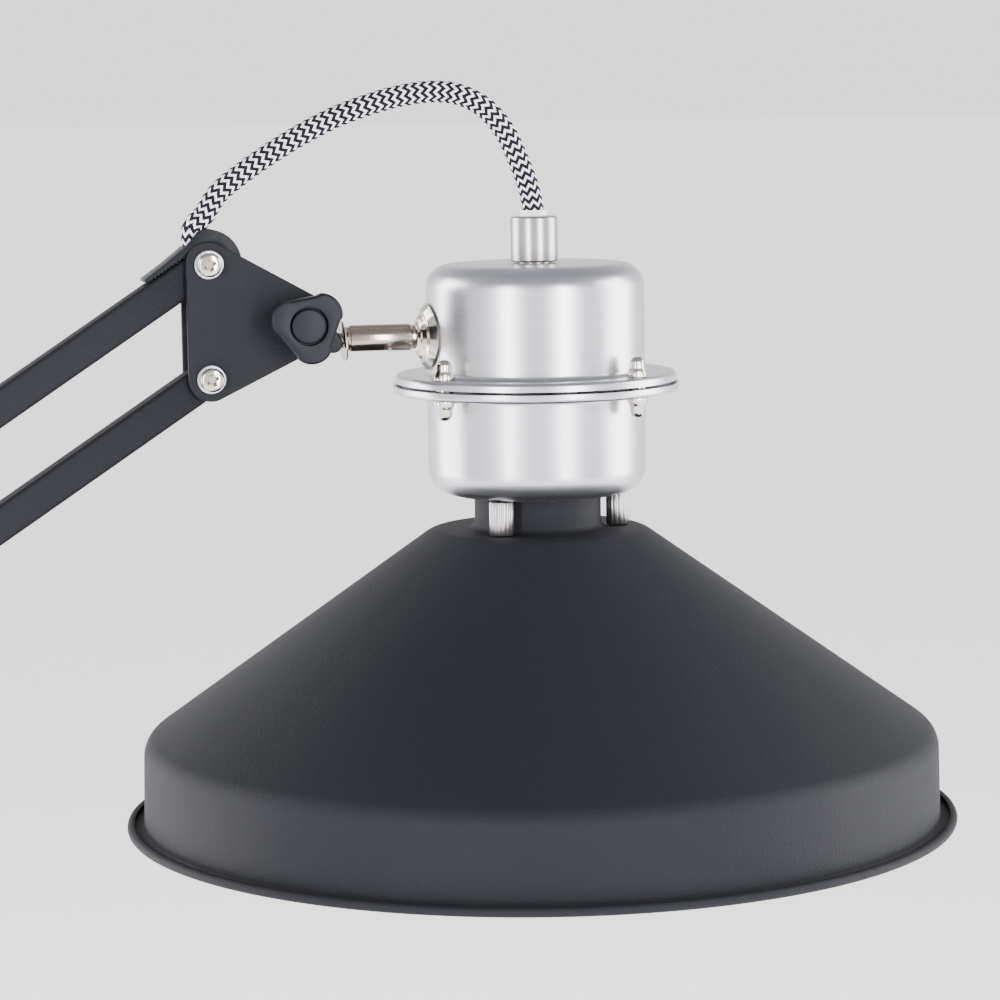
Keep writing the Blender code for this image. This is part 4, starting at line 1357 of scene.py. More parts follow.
@dataclass
class LampHousing:
    """The two spun cups with their flange nuts, the gland, the lampholder and the bulb."""

    repeater: Repeater
    wall: float = 1.0
    top: float = 21.0
    corner: float = 7.2
    bottom: float = -48.0
    bottom_corner: float = 7.8
    upper_flange: tuple[float, float] = (42.3, -11.7)
    lower_flange: tuple[float, float] = (43.0, -17.5)
    lip: float = 2.5
    stud_circle: float = 38.0
    stud_angles: tuple[float, ...] = (31.3, 128.0, 211.3, 308.0)
    segments: int = 160

    def build(self) -> None:
        """Make every piece of the housing."""
        self.build_cups()
        self.build_studs()
        self.build_gland()
        self.build_lamp()

    def build_cups(self) -> None:
        """Make both cups, each a closed spun sheet with a rolled flange."""
        edge, level = self.upper_flange
        upper = rounded([(5.3, self.top, 0), (CUP_RADIUS, self.top, self.corner),
                         (CUP_RADIUS, level, 1.6), (edge, level, 1.2),
                         (edge, level - self.lip, 0)])
        edge, level = self.lower_flange
        lower = rounded([(edge, level + self.lip, 0), (edge, level, 1.2),
                         (CUP_RADIUS, level, 1.6), (CUP_RADIUS, self.bottom, self.bottom_corner),
                         (18.3, self.bottom, 0)])
        for name, path, node in (("upper_cup_shell", upper, "upper_cup"),
                                 ("lower_cup_shell", lower, "lower_cup")):
            shell = Solid().turned(walled(path, self.wall), self.segments, closed=True)
            shell.about(HEAD)
            shell.mounted(name, "head", ALUMINIUM, node)

    def cap_nut(self) -> Solid:
        """Return a domed nut with a flared six-sided foot and flutes, from z = 0."""
        levels = ((0.0, 3.1, 0.10, 1.0), (0.5, 3.15, 0.10, 1.0), (1.7, 2.75, 0.10, 1.0),
                  (2.2, 2.45, 0.05, 1.0), (2.6, 2.30, 0.09, 0.6), (4.0, 2.25, 0.09, 0.6),
                  (4.9, 1.95, 0.07, 0.6), (5.5, 1.35, 0.03, 0.6), (5.8, 0.5, 0.0, 0.6))

        def flute(angle: float, power: float) -> float:
            """Return how deep a flute is at an angle, from 0 to 1."""
            return 1 - abs(math.cos(math.radians(angle * 3))) ** power

        return Solid().loft([
            ring(48, height, lambda angle: radius * (1 - depth * flute(angle, power)))
            for height, radius, depth, power in levels])

    def build_studs(self) -> None:
        """Make the four studs with a cap nut above and below the flanges."""
        top = self.upper_flange[1] + 0.3
        bottom = self.lower_flange[1] - 0.3
        stud = self.cap_nut().placed(Matrix.Translation((0.0, 0.0, top)))
        flipped = self.cap_nut().placed(Matrix.Translation((0.0, 0.0, bottom))
                                        @ Matrix.Rotation(math.pi, 4, "X"))
        collar = Solid().turned([(0.0, bottom), (1.4, bottom), (1.4, -16.2), (2.6, -16.2),
                                 (2.6, -13.0), (1.4, -13.0), (1.4, top), (0.0, top)], 24)
        stud.joined(flipped).joined(collar)
        spots = [HEAD + Vector((*polar(angle, self.stud_circle), 0.0))
                 for angle in self.stud_angles]
        self.repeater.set_on("flange_cap_nuts", "head", spots, stud.shown("stud", angle=40.0),
                             NICKEL, *(f"flange_stud_{number}" for number in range(1, 5)))

    def build_gland(self) -> None:
        """Make the cable gland and the nylon ring that the flex goes into."""
        profile = rounded([(3.6, 17.0, 0), (4.9, 17.0, 0.3), (4.9, 21.4, 0), (6.5, 21.4, 0),
                           (7.1, 21.9, 0.2), (7.1, 35.0, 0.7), (3.6, 35.0, 0.4),
                           (3.6, 17.0, 0)], 4)[:-1]
        gland = Solid().turned(profile, 64, closed=True).about(HEAD)
        gland.mounted("cable_gland_cap", "head", SATIN, "cable_gland")
        sleeve = Solid().turned([(3.35, 33.5), (3.58, 33.5), (3.58, 35.1), (4.05, 35.1),
                                 (4.05, 36.4), (3.8, 36.8), (3.35, 36.8)], 48, closed=True)
        sleeve.about(HEAD).mounted("gland_sleeve", "head", SLEEVE)

    def build_lamp(self) -> None:
        """Make the lampholder in the neck and the bulb, and give the nut inside the cup nickel."""
        holder = [(0.0, -26.0), (13.0, -26.0), (15.5, -27.0), (17.2, -29.4), (17.2, -38.0)]
        for rib in range(8):
            level = -39.0 - rib * 3.6
            holder += [(17.2, level), (16.6, level - 0.4), (16.6, level - 1.4),
                       (17.2, level - 1.8)]
        holder += [(17.2, -69.4), (16.6, -70.0), (14.0, -70.0), (13.7, -69.6), (13.7, -46.0),
                   (0.0, -46.0)]
        Solid().turned(holder, 64).about(HEAD).mounted("ribbed_lampholder", "head", PLASTIC,
                                                       "lampholder")
        radius, centre = 22.5, -98.5
        glass = [(0.0, -47.0), (5.0, -47.0), (8.0, -49.5), (12.6, -50.5), (13.1, -51.2),
                 (13.1, -72.5)]
        glass += arc((0.0, centre), radius, 52.0, -89.0, 32)
        Solid().turned(glass, 72).about(HEAD).mounted("opal_bulb", "head", OPAL, "bulb",
                                                      angle=60.0)
        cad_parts["cup_nut"].data.materials[0] = NICKEL.material()


@dataclass
class TiltJoint:
    """Swivel tube, washers, block, knob with its cap, and the bolt through them."""

    tube: float = 4.0
    left: float = -57.9
    right: float = -37.3
    lobe_mean: float = 9.9
    lobe_height: float = 1.5
    lobe_turn: float = 40.0
    lobe_points: int = 120
    knob_gap: float = 0.5
    knob_depth: float = 13.0
    lobe_edge: float = 1.0
    cap: float = 5.05
    groove: float = 5.6
    block_round: float = 8.0
    block_nose: float = 2.8
    block_half: float = 4.7

    def build(self) -> None:
        """Make every piece of the joint."""
        self.build_tube()
        self.build_washers()
        self.build_block()
        self.build_knob()
        self.build_bolt()

    def build_tube(self) -> None:
        """Make the swivel tube with its necked ends."""
        left, right, tube = self.left, self.right, self.tube
        profile = [(0.0, -65.5), (1.8, -65.5), (1.8, left)]
        profile += rounded([
            (2.6, left, 0), (3.55, left, 0.3), (3.55, left + 0.9, 0.1), (tube - 0.1, left + 1.1, 0),
            (tube, left + 1.5, 0), (tube, right - 1.5, 0), (tube - 0.15, right - 1.2, 0),
            (tube - 0.5, right - 0.9, 0.1), (tube - 0.5, right, 0), (2.2, right, 0)], 3)
        profile += [(2.2, -28.0), (0.0, -28.0)]
        tube_piece = Solid().turned(profile, 64).about(HEAD, Axis.X)
        tube_piece.mounted("swivel_tube_turned", "head", SHADED_TUBE_NICKEL, "swivel_tube")

    def build_washers(self) -> None:
        """Make the dished washer against the cup and the leaning washer at the block."""
        dish = rounded([(2.6, -37.0, 0), (3.9, -37.2, 0.4), (4.7, -36.3, 0.5),
                        (5.6, -36.5, 0.6), (6.9, -35.3, 0.8), (8.0, -35.2, 0.8),
                        (10.0, -33.6, 0)], 5)
        saddle = Solid().turned(walled(dish[::-1], 0.9), 96, closed=True).about(
            Vector((0.0, 0.0, 0.0)), Axis.X)
        for vert in saddle.bm.verts:
            vert.co.x += CUP_RADIUS - math.sqrt(CUP_RADIUS ** 2 - vert.co.y ** 2)
        saddle.placed(Matrix.Translation(HEAD))
        saddle.mounted("saddle_dish", "head", NICKEL, "saddle_washer")
        lean = Matrix.Translation(HEAD + Vector((-58.7, 0.0, -0.6)))
        lean = lean @ Matrix.Rotation(math.radians(-5.0), 4, "Y") @ Axis.X.matrix()
        washer = Solid().turned([(2.3, -0.32), (5.9, -0.32), (6.1, -0.2), (6.1, 0.2),
                                 (5.9, 0.32), (2.3, 0.32)], 56, closed=True)
        washer.placed(lean).mounted("leaning_washer", "tilt_block", NICKEL, "swivel_washer")

    def build_block(self) -> None:
        """Make the block between the plates' noses."""
        stub = flat(HEAD) + Vector((-62.4, -1.0))
        outline = hull([(flat(KNOB), self.block_round), (stub, self.block_nose)])
        block = Solid().extruded(outline, -self.block_half, self.block_half,
                                 [bore_loop(KNOB)], 0.5, 3)
        block.mounted("tilt_block_moulding", "tilt_block", PLASTIC, "tilt_block")

    def lobe(self, angle: float) -> float:
        """Return the knob's radius at an angle."""
        wave = math.cos(math.radians(3 * (angle - self.lobe_turn)))
        blunt = math.copysign(abs(wave) ** 0.6, wave)
        return self.lobe_mean + self.lobe_height * blunt

    def build_knob(self) -> None:
        """Make the three-lobed knob with its ring groove, and the push-in cap."""
        back = -PLATE_OUTER_Y - self.knob_gap
        front = back - self.knob_depth
        soft = self.lobe_edge
        levels = [(back, 2.4, 0.0), (back - 0.5, 1.9, 0.0), (back - 5.0, 1.1, 0.0),
                  (front + 3.2, 0.15, 0.0)]
        levels += [(front + soft * (1 - math.sin(step * math.pi / 12)),
                    0.15 + soft * (1 - math.cos(step * math.pi / 12)), 0.0)
                   for step in range(7)]
        levels += [(front - 0.15, 0.0, 0.65), (front, 0.0, 0.97), (front + 0.3, 0.0, 1.0),
                   (front + 1.9, 0.0, 1.0)]

        def outline(angle: float, inset: float, towards_groove: float) -> float:
            """Return the radius of a level at an angle."""
            lobed = self.lobe(angle) - (inset or soft)
            return lobed + (self.groove - lobed) * towards_groove

        rings = []
        for height, inset, towards in levels:
            level = ring(self.lobe_points, height, lambda angle: outline(angle, inset, towards))
            rings.append([Vector((KNOB.x + point.x, height, KNOB.z + point.y))
                          for point in level])
        Solid().loft(rings).mounted("three_lobe_knob", "knob", PLASTIC, "tilt_knob", angle=45.0)
        dome = [(0.0, 1.9), (self.cap, 1.9)]
        dome += rounded([(self.cap, 1.9, 0), (self.cap, 0.0, 0.6), (4.0, -0.15, 0),
                         (0.0, -0.3, 0)], 5)[1:]
        cap = Solid().turned(dome, 64).placed(Matrix.Translation((KNOB.x, front, KNOB.z))
                                              @ Axis.Y.matrix())
        cap.mounted("push_in_cap", "knob", PLASTIC, "knob_cap")

    def build_bolt(self) -> None:
        """Make the carriage bolt's head behind the back plate and its shank."""
        face = WASHER_SEAT_Y
        bolt = [(0.0, -15.0), (2.0, -15.0), (2.0, face), (5.6, face), (5.6, face + 0.5)]
        bolt += [(5.6 * math.cos(math.radians(a)), face + 0.5 + 2.9 * math.sin(math.radians(a)))
                 for a in range(10, 91, 10)]
        made = Solid().turned(bolt, 48).about(KNOB, Axis.Y)
        made.mounted("tilt_carriage_bolt", "head_plates", NICKEL, "tilt_bolt")


# ---------------------------------------------------------------- arms
@dataclass
class Plates:
    """Pairs of flat plates that carry an arm's pivots."""

    edge: float = 0.45

    def pair(self, name: str, body: str, discs: Sequence[tuple[Vector, float]],
             pivots: Sequence[Vector], node: str) -> None:
        """Make the front and back plates of a joint.

        Args:
            name: Start of the pieces' names.
            body: The body that they ride on.
            discs: Discs whose hull is the outline, as (centre, radius) in the arm plane.
            pivots: Places of the bores.
            node: Start of the frame nodes' names.
        """
        outline = hull([(flat(centre), radius) for centre, radius in discs])
        holes = [bore_loop(spot) for spot in pivots]
        for side, sign in (("front", -1), ("back", 1)):
            low, high = sorted((sign * PLATE_INNER_Y, sign * PLATE_OUTER_Y))
            plate = Solid().extruded(outline, low, high, holes, self.edge, 3)
            plate.mounted(f"{name}_{side}", body, POWDER, f"{node}_{side}")


@dataclass
class SquareBar:
    """Square tube with rounded corners and open ends."""

    size: float = 10.0
    wall: float = 1.0
    corner: float = 1.3
    overhang: float = 3.9

    def section(self, half: float, corner: float) -> Profile:
        """Return a rounded square, counter-clockwise.

        Args:
            half: Half of its width.
            corner: Radius of its corners.

        Returns:
            Its points.
        """
        points = []
        for quarter in range(4):
            spot = Vector((half - corner, half - corner))
            spin = Matrix.Rotation(math.pi / 2 * quarter, 2)
            points += [spin @ (spot + polar(angle, corner)) for angle in (0, 22.5, 45, 67.5, 90)]
        return points

    def build(self, name: str, body: str, start: Vector, end: Vector, node: str) -> None:
        """Make one bar between two pivots.

        Args:
            name: Name of the piece.
            body: The body that it rides on.
            start: The first pivot.
            end: The second pivot.
            node: The frame node that it stands for.
        """
        along = heading(start, end)
        up = Vector((-along.z, 0.0, along.x))
        side = Vector((0.0, 1.0, 0.0))
        first = start - along * self.overhang
        last = end + along * self.overhang
        half = self.size / 2
        outer = self.section(half, self.corner)
        soft = self.section(half - 0.25, self.corner - 0.2)
        inner = self.section(half - self.wall, max(self.corner - self.wall, 0.3))
        rings = []
        for section, spot in ((inner, first), (soft, first), (outer, first + along * 0.3),
                              (outer, last - along * 0.3), (soft, last), (inner, last)):
            rings.append([spot + up * point.x + side * point.y for point in section])
        bar = Solid().loft(rings, closed=True)
        bar.mounted(name, body, POWDER, node, angle=50.0)


@dataclass
class CableGuide:
    """Moulded cap over the top bar's end: an arc round the pivot and a toothed tongue."""

    repeater: Repeater
    outer: float = 10.2
    inner: float = 5.6
    width: float = 10.0

    def build(self) -> None:
        """Make the guide and the row of teeth under its tongue."""
        side = Vector((-UPPER_DIR.z, 0.0, UPPER_DIR.x))

        def on_bar(along: float, up: float) -> Vector:
            """Return a place in the arm plane from its place on the bar."""
            return flat(HEAD_TOP + UPPER_DIR * along + side * up)

        local = [Vector(p) for p in ((-18.3, 6.1), (-17.6, 6.8), (-10.0, 7.1), (-2.0, 7.9),
                                     (3.4, 9.4))]
        local += arc((0.0, 0.0), self.outer, 56.0, -25.0, 20)
        local += arc((0.0, 0.0), self.inner, -25.0, 90.0, 20)
        local += [Vector(p) for p in ((-12.0, 5.7), (-16.4, 5.6))]
        outline = [on_bar(*point) for point in local]
        half = self.width / 2
        guide = Solid().extruded(outline, -half, half, (), 0.3, 2)
        guide.mounted("cable_guide_cap", "upper_bar", PLASTIC, "cable_guide", angle=40.0)
        ridge = ((-0.45, 0.0), (0.45, 0.0), (0.0, -0.5))
        tooth = Solid().loft([[Vector((x, y, z)) for x, z in ridge]
                              for y in (-half + 0.2, half - 0.2)])
        spots = [HEAD_TOP + UPPER_DIR * (-15.9 + 1.25 * step) + side * 5.75 for step in range(11)]
        angle = math.atan2(UPPER_DIR.z, UPPER_DIR.x)
        self.repeater.set_on("guide_teeth", "upper_bar", spots, tooth.shown("tooth"), PLASTIC,
                             turn=(0.0, -angle, 0.0))


@dataclass
class Springs:
    """Balance springs: a close coil with a hook at each end."""

    winder: CoilWinder
    offset: float = 15.2
    coil: float = 3.75
    wire: float = 0.62
    hook: float = 9.0
    pitch: float = 1.42
    bend: tuple[float, float] = (0.03, 0.19)

    def build(self, name: str, bodies: tuple[str, str], start: Vector, end: Vector,
              side: int, node: str) -> None:
        """Make one spring between two posts.

        Args:
            name: Name of the piece.
            bodies: The bodies of the first and the second post; not used.
            start: The first post in the arm plane.
            end: The second post in the arm plane.
            side: -1 in front of the arm and 1 behind it.
            node: The frame node that it stands for.
        """
        length = (end - start).length
        coil_length = length - 2 * self.hook
        spring = self.winder.wind(round(coil_length / self.pitch), self.coil, self.wire,
                                  coil_length, SPRING_WIRE)
        spring.placed(Matrix.Translation((0.0, 0.0, self.hook)))
        for low, sign in ((0.0, 1), (length, -1)):
            spring.joined(self.hook_wire(low, sign))
        along = heading(start, end)
        turn = Vector((0.0, 0.0, 1.0)).rotation_difference(along).to_matrix().to_4x4()
        place = Matrix.Translation(start + Vector((0.0, side * self.offset, 0.0)))
        piece = spring.placed(place @ turn).shown(name, [SPRING_WIRE], 60.0, clean=False)
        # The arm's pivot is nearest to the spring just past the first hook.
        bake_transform(piece)
        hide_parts(node)
        LOG.info("%s: %d faces", name, len(piece.data.polygons))

    def hook_wire(self, low: float, sign: int) -> Solid:
        """Return the hook at one end, from the coil to round the post.

        Args:
            low: The post's place along the spring.
            sign: 1 at the first post and -1 at the second.

        Returns:
            The hook.
        """
        loop = 2.7
        points = [Vector((self.coil, 0.0, self.hook + 0.4)),
                  Vector((self.coil * 0.72, 0.0, self.hook - 0.8)),
                  Vector((0.6, 0.0, self.hook - 2.6)), Vector((0.2, 0.0, self.hook - 4.4))]
        points += [Vector((loop * math.sin(math.radians(a)), 0.0, loop * math.cos(math.radians(a))))
                   for a in range(25, 320, 20)]
        line = FlexRoute(smooth(points, 0.8), self.wire, 8)
        rings = []
        for spot, (across, up) in zip(line.points, line.frames):
            rings.append([spot + (across * math.cos(math.tau * i / 8)
                                  + up * math.sin(math.tau * i / 8)) * self.wire
                          for i in range(8)])
        hook = Solid().loft(rings)
        bmesh.ops.recalc_face_normals(hook.bm, faces=hook.bm.faces)
        if sign < 0:
            hook.placed(Matrix.Rotation(math.pi, 4, "X"))
        return hook.placed(Matrix.Translation((0.0, 0.0, low)))


@dataclass
class Arms:
    """Both parallelogram arms with their plates, pivots and springs."""

    repeater: Repeater
    bar: SquareBar = field(default_factory=SquareBar)
    plates: Plates = field(default_factory=Plates)

    def build(self) -> None:
        """Make every piece of the arms."""
        bars = (("lower_bar_tube", "lower_bar", BRACKET_LEFT, ELBOW_LEFT, "lower_bar"),
                ("lower_link_tube", "lower_link", BRACKET_RIGHT, ELBOW_RIGHT, "lower_link"),
                ("upper_bar_tube", "upper_bar", ELBOW_TOP, HEAD_TOP, "upper_bar"),
                ("upper_link_tube", "upper_link", ELBOW_LOW, HEAD_LOW, "upper_link"))
        for name, body, start, end, node in bars:
            self.bar.build(name, body, start, end, node)
        elbow = (ELBOW_LEFT, ELBOW_RIGHT, ELBOW_LOW, ELBOW_TOP)
        bracket_foot = [Vector((x, 0.0, 53.8)) for x in (-19.0, 19.0)]
        self.plates.pair("bracket_cheek", "stem",
                         [(BRACKET_LEFT, 8.0), (BRACKET_RIGHT, 8.0),
                          *((foot, 4.0) for foot in bracket_foot)],
                         (BRACKET_LEFT, BRACKET_RIGHT), "bracket_plate")
        self.plates.pair("elbow_cheek", "elbow",
                         list(zip(elbow, (7.5, 7.5, 7.5, 7.0))), elbow, "elbow_plate")
        self.plates.pair("head_cheek", "head_plates",
                         [(HEAD_LOW, 6.6), (HEAD_TOP, 6.6), (KNOB, 9.0)],
                         (HEAD_LOW, HEAD_TOP, KNOB), "head_plate")
        self.build_fasteners(elbow)
        CableGuide(self.repeater).build()
        self.build_springs()

    def build_fasteners(self, elbow: Sequence[Vector]) -> None:
        """Set the pivots' screws and make the posts that carry the springs."""
        sets = PivotFasteners(self.repeater)
        sets.set_screws("bracket", "stem", (BRACKET_LEFT, BRACKET_RIGHT),
                        ("bracket_screw_left", "bracket_screw_right"))
        sets.set_screws("elbow", "elbow", elbow,
                        [f"elbow_screw_{spot}" for spot in ("left", "right", "low", "top")])
        sets.set_screws("head", "head_plates", (HEAD_TOP, HEAD_LOW),
                        ("head_screw_top", "head_screw_bottom"))
        end = sets.post_end
        start = WASHER_SEAT_Y + sets.washer_thickness
        lower_top, upper_top = pivot("lower_spring_pin"), pivot("upper_spring_pin")
        sets.post("bracket_spring_post_front", "stem", BRACKET_RIGHT, (-end, -start))
        sets.post("bracket_spring_post_back", "stem", BRACKET_RIGHT, (start, end))
        sets.post("elbow_spring_post", "elbow", ELBOW_LOW, (-end, -start))
        sets.post("lower_spring_cross_pin", "lower_bar", lower_top, (-end, end),
                  "lower_spring_pin")
        sets.post("upper_spring_cross_pin", "upper_bar", upper_top, (-end, 6.5),
                  "upper_spring_pin")

    def build_springs(self) -> None:
        """Make the two lower springs and the upper one."""
        springs = Springs(CoilWinder())
        lower_top, upper_top = pivot("lower_spring_pin"), pivot("upper_spring_pin")
        for place, side in (("front", -1), ("back", 1)):
            springs.build(f"lower_coil_{place}", ("stem", "lower_bar"), BRACKET_RIGHT,
                          lower_top, side, f"lower_spring_{place}")
        springs.build("upper_coil", ("elbow", "upper_bar"), ELBOW_LOW, upper_top, -1,
                      "upper_spring")


# ---------------------------------------------------------------- base
@dataclass
class Base:
    """Weighted base with its cover, pad, switch, socket, swivel block and lead gland."""

    radius: float = 115.0
    top: float = 19.0
    low: float = 2.8
    wall: float = 1.2
    pad: float = 2.5
    socket_top: float = 47.0
    switch_y: float = -72.0
    gland_z: float = 9.0
    segments: int = 192

    def build(self) -> None:
        """Make every piece of the base."""
        self.build_cover()
        self.build_socket()
        self.build_switch()
        self.build_gland()
        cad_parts["base_weight"].data.materials[0] = IRON.material()

    def build_cover(self) -> None:
        """Make the spun cover with the switch's opening, and the pad under it."""
        path = rounded([(9.0, self.top, 0), (70.0, self.top - 0.4, 0),
                        (self.radius, self.top - 1.0, 7.0), (self.radius, self.low, 0)], 10)
        cover = Solid().turned(walled(path, self.wall), self.segments, closed=True)
        tool = Solid().extruded(self.rounded_box(13.3, 7.3, 1.2), self.top - 7.0, self.top + 11.0,
                                (), 0.0).placed(self.switch_stand())
        hole = Solid().turned([(0.0, -20.0), (4.4, -20.0), (4.4, 20.0), (0.0, 20.0)], 32)
        hole.about(Vector((0.0, self.radius, self.gland_z)), Axis.Y)
        cover.cut(tool).cut(hole).mounted("base_cover_shell", "base", POWDER, "base_cover",
                                          angle=30.0)
        edge = self.radius - 2.0
        pad = Solid().turned(rounded([(0.0, 0.0, 0), (edge, 0.0, 0.5), (edge, self.pad, 0.5),
                                      (0.0, self.pad, 0)], 3), self.segments)
        pad.mounted("base_pad_disc", "base", RUBBER, "base_pad")

    def build_socket(self) -> None:
        """Make the socket on the cover and the swivel block that turns in it."""
        profile = rounded([(8.3, self.top + 0.3, 0), (17.0, self.top + 0.3, 0),
                           (17.0, self.top + 2.5, 0.8), (11.5, self.top + 4.5, 2.2),
                           (11.5, self.socket_top, 0.7), (8.3, self.socket_top, 0.4),
                           (8.3, self.top + 0.3, 0)], 5)[:-1]
        socket = Solid().turned(profile, 96, closed=True)
        socket.mounted("stem_socket_turned", "base", POWDER, "stem_socket")
        screw = Solid().turned([(0.0, 11.3), (2.4, 11.3), (2.4, 12.6), (2.0, 13.2), (0.0, 13.2)],
                               32).about(Vector((0.0, 0.0, 36.0)), Axis.Y)
        screw.placed(Matrix.Rotation(math.pi, 4, "Z"))
        screw.mounted("socket_set_screw", "base", NICKEL)
        low, high = self.socket_top + 1.5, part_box("swivel_block")[1].z / MM
        outline = [Vector(p) for p in ((-22.0, low), (22.0, low), (22.0, high), (-22.0, high))]
        block = Solid().extruded(outline, -5.0, 5.0, (), 0.6, 3)
        block.mounted("swivel_block_milled", "stem", POWDER, "swivel_block")
        pin = Solid().turned([(0.0, 21.0), (7.4, 21.0), (7.9, 21.5), (7.9, self.socket_top + 0.3),
                              (10.7, self.socket_top + 0.3), (11.0, self.socket_top + 0.6),
                              (11.0, self.socket_top + 1.9), (10.7, self.socket_top + 2.2),
                              (0.0, self.socket_top + 2.2)], 64)
        pin.mounted("swivel_pin_turned", "stem", NICKEL)

    def rounded_box(self, half_x: float, half_y: float, corner: float) -> Profile:
        """Return a rounded rectangle round the origin.

        Args:
            half_x: Half of its width.
            half_y: Half of its depth.
            corner: Radius of its corners.

        Returns:
            Its points.
        """
        points = []
        for quarter, (x, y) in enumerate(((1, 1), (-1, 1), (-1, -1), (1, -1))):
            spot = (x * (half_x - corner), y * (half_y - corner))
            points += arc(spot, corner, 90.0 * quarter, 90.0 * quarter + 90.0, 5)
        return points

    def switch_stand(self) -> Matrix:
        """Return the matrix that stands an extrusion up where the switch is."""
        return (Matrix.Translation((0.0, self.switch_y, 0.0))
                @ Matrix.Rotation(math.pi / 2, 4, "X"))

    def build_switch(self) -> None:
        """Make the switch's frame and its rocker."""
        bezel = Solid().extruded(self.rounded_box(13.0, 7.0, 1.4), 8.4, self.top + 1.0,
                                 [self.rounded_box(10.5, 5.0, 0.8)], 0.4, 3)
        bezel.placed(self.switch_stand())
        bezel.mounted("switch_frame", "base", PLASTIC, "switch_housing")
        outline = [Vector((-9.9, 16.5)), Vector((-8.5, 13.6)), Vector((8.5, 13.6)),
                   Vector((9.9, 16.5)), Vector((9.9, 19.6)), Vector((5.0, 18.75)),
                   Vector((0.0, 18.6)), Vector((-5.0, 19.75)), Vector((-9.6, 21.4))]
        rocker = Solid().extruded(outline, self.switch_y - 4.7, self.switch_y + 4.7, (), 0.35, 2)
        rocker.mounted("rocker_paddle", "rocker", PLASTIC, "switch_rocker")

    def build_gland(self) -> None:
        """Make the ribbed strain relief of the lead."""
        profile = [(0.0, -6.0), (4.0, -6.0), (4.0, 0.5), (6.2, 0.5), (6.5, 0.8), (6.5, 3.7),
                   (6.2, 4.0)]
        for rib in range(6):
            start = 5.0 + rib * 3.1
            radius = 5.4 - 0.16 * rib
            profile += [(radius - 0.9, start), (radius, start + 0.5), (radius, start + 1.9),
                        (radius - 0.9, start + 2.4)]
        profile += [(4.2, 23.8), (3.9, 24.0), (0.0, 24.0)]
        relief = Solid().turned(profile, 40).about(
            Vector((0.0, self.radius, self.gland_z)), Axis.Y)
        relief.mounted("strain_relief", "base", PLASTIC, "base_gland")


# ---------------------------------------------------------------- studio
@dataclass
class Softbox:
    """A tall soft light that stands round the lamp's head."""

    name: str
    bearing: float
    distance: float
    size: tuple[float, float]
    power: float
    height: float = 0.80


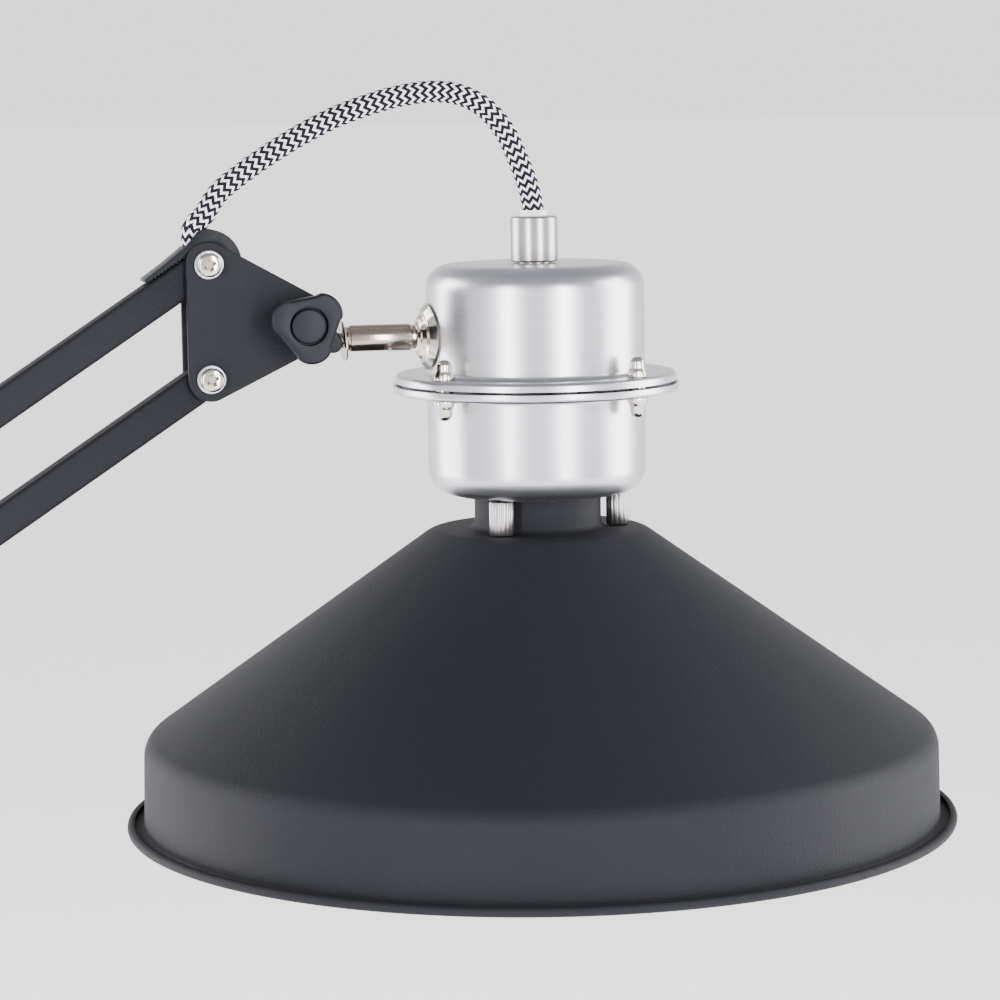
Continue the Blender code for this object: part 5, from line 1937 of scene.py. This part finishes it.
@dataclass
class Studio:
    """Pale floor, soft light and the camera."""

    camera_place: tuple[float, float, float] = (0.0216, -0.968, 0.6853)
    camera_heading: float = -13.0
    camera_dip: float = 7.14
    camera_roll: float = -0.85
    lens: float = 119.5
    floor_radius: float = 60.0
    floor_glow: float = 1.05
    floor_level: float = -0.0003
    softboxes: tuple[Softbox, ...] = (
        Softbox("left_side", -104.0, 1.5, (0.95, 1.4), 40.0),
        Softbox("front_left", -29.0, 1.9, (0.26, 1.4), 35.0),
        Softbox("front_right", 30.0, 1.9, (0.32, 1.4), 40.0),
        Softbox("right_side", 97.0, 1.5, (0.9, 1.4), 42.0))

    def build(self) -> None:
        """Make the camera, the floor and the lights."""
        self.build_camera()
        self.build_floor()
        self.build_lights()

    def build_camera(self) -> None:
        """Place the camera, level but for a slight roll."""
        data = bpy.data.cameras.new("camera")
        data.lens = self.lens
        data.sensor_width = 36.0
        data.clip_end = 100.0
        camera = add_object("camera", data)
        aim = Euler((math.radians(90.0 - self.camera_dip), 0.0,
                     math.radians(self.camera_heading))).to_matrix()
        roll = Matrix.Rotation(math.radians(self.camera_roll), 3, "Z")
        camera.matrix_world = (Matrix.Translation(self.camera_place)
                               @ (aim @ roll).to_4x4())
        bpy.context.scene.camera = camera

    def build_floor(self) -> None:
        """Make the round pale floor."""
        bm = bmesh.new()
        bmesh.ops.create_circle(bm, cap_ends=True, segments=96, radius=self.floor_radius)
        mesh = bpy.data.meshes.new("floor")
        bm.to_mesh(mesh)
        bm.free()
        paint = bpy.data.materials.new("floor_paint")
        paint.use_nodes = True
        shader = paint.node_tree.nodes["Principled BSDF"]
        for socket, value in (("Base Color", (0.93, 0.93, 0.93, 1.0)), ("Roughness", 0.9),
                              ("Specular IOR Level", 0.1),
                              ("Emission Color", (1.0, 1.0, 1.0, 1.0)),
                              ("Emission Strength", self.floor_glow)):
            shader.inputs[socket].default_value = value
        mesh.materials.append(paint)
        floor = add_object("floor", mesh)
        floor.location.z = self.floor_level

    def build_lights(self) -> None:
        """Make the sky, bright at the horizon and dim overhead, and the softboxes."""
        world = bpy.data.worlds.new("studio_sky")
        world.use_nodes = True
        maker = NodeMaker(world.node_tree)
        way = maker.make("ShaderNodeTexCoord", output="Generated")
        height = maker.make("ShaderNodeSeparateXYZ", None, {0: way}, 2)
        ramp = maker.make("ShaderNodeValToRGB", {
            "stops": ((0.14, (1.7, 1.7, 1.7)), (0.72, (0.58, 0.585, 0.62)))}, {0: height})
        world.node_tree.links.new(ramp.socket,
                                  world.node_tree.nodes["Background"].inputs["Color"])
        bpy.context.scene.world = world
        centre = HEAD * MM
        for box in self.softboxes:
            data = bpy.data.lights.new(box.name, "AREA")
            data.shape = "RECTANGLE"
            data.size, data.size_y = box.size
            data.energy = box.power
            light = add_object(box.name, data)
            angle = math.radians(-90.0 + self.camera_heading + box.bearing)
            light.location = (centre.x + box.distance * math.cos(angle),
                              centre.y + box.distance * math.sin(angle), box.height)
            aim = centre - light.location
            light.rotation_euler = aim.to_track_quat("-Z", "Y").to_euler()


def main() -> None:
    """Build the studio and the lamp's pieces in order."""
    logging.basicConfig(level=logging.INFO, format="%(message)s")
    Studio().build()
    MainsLead().build()
    HeadFlex().build()
    repeater = Repeater()
    Base().build()
    Arms(repeater).build()
    TiltJoint().build()
    LampHousing(repeater).build()
    Shade(repeater).build()


if __name__ == "__main__":
    main()
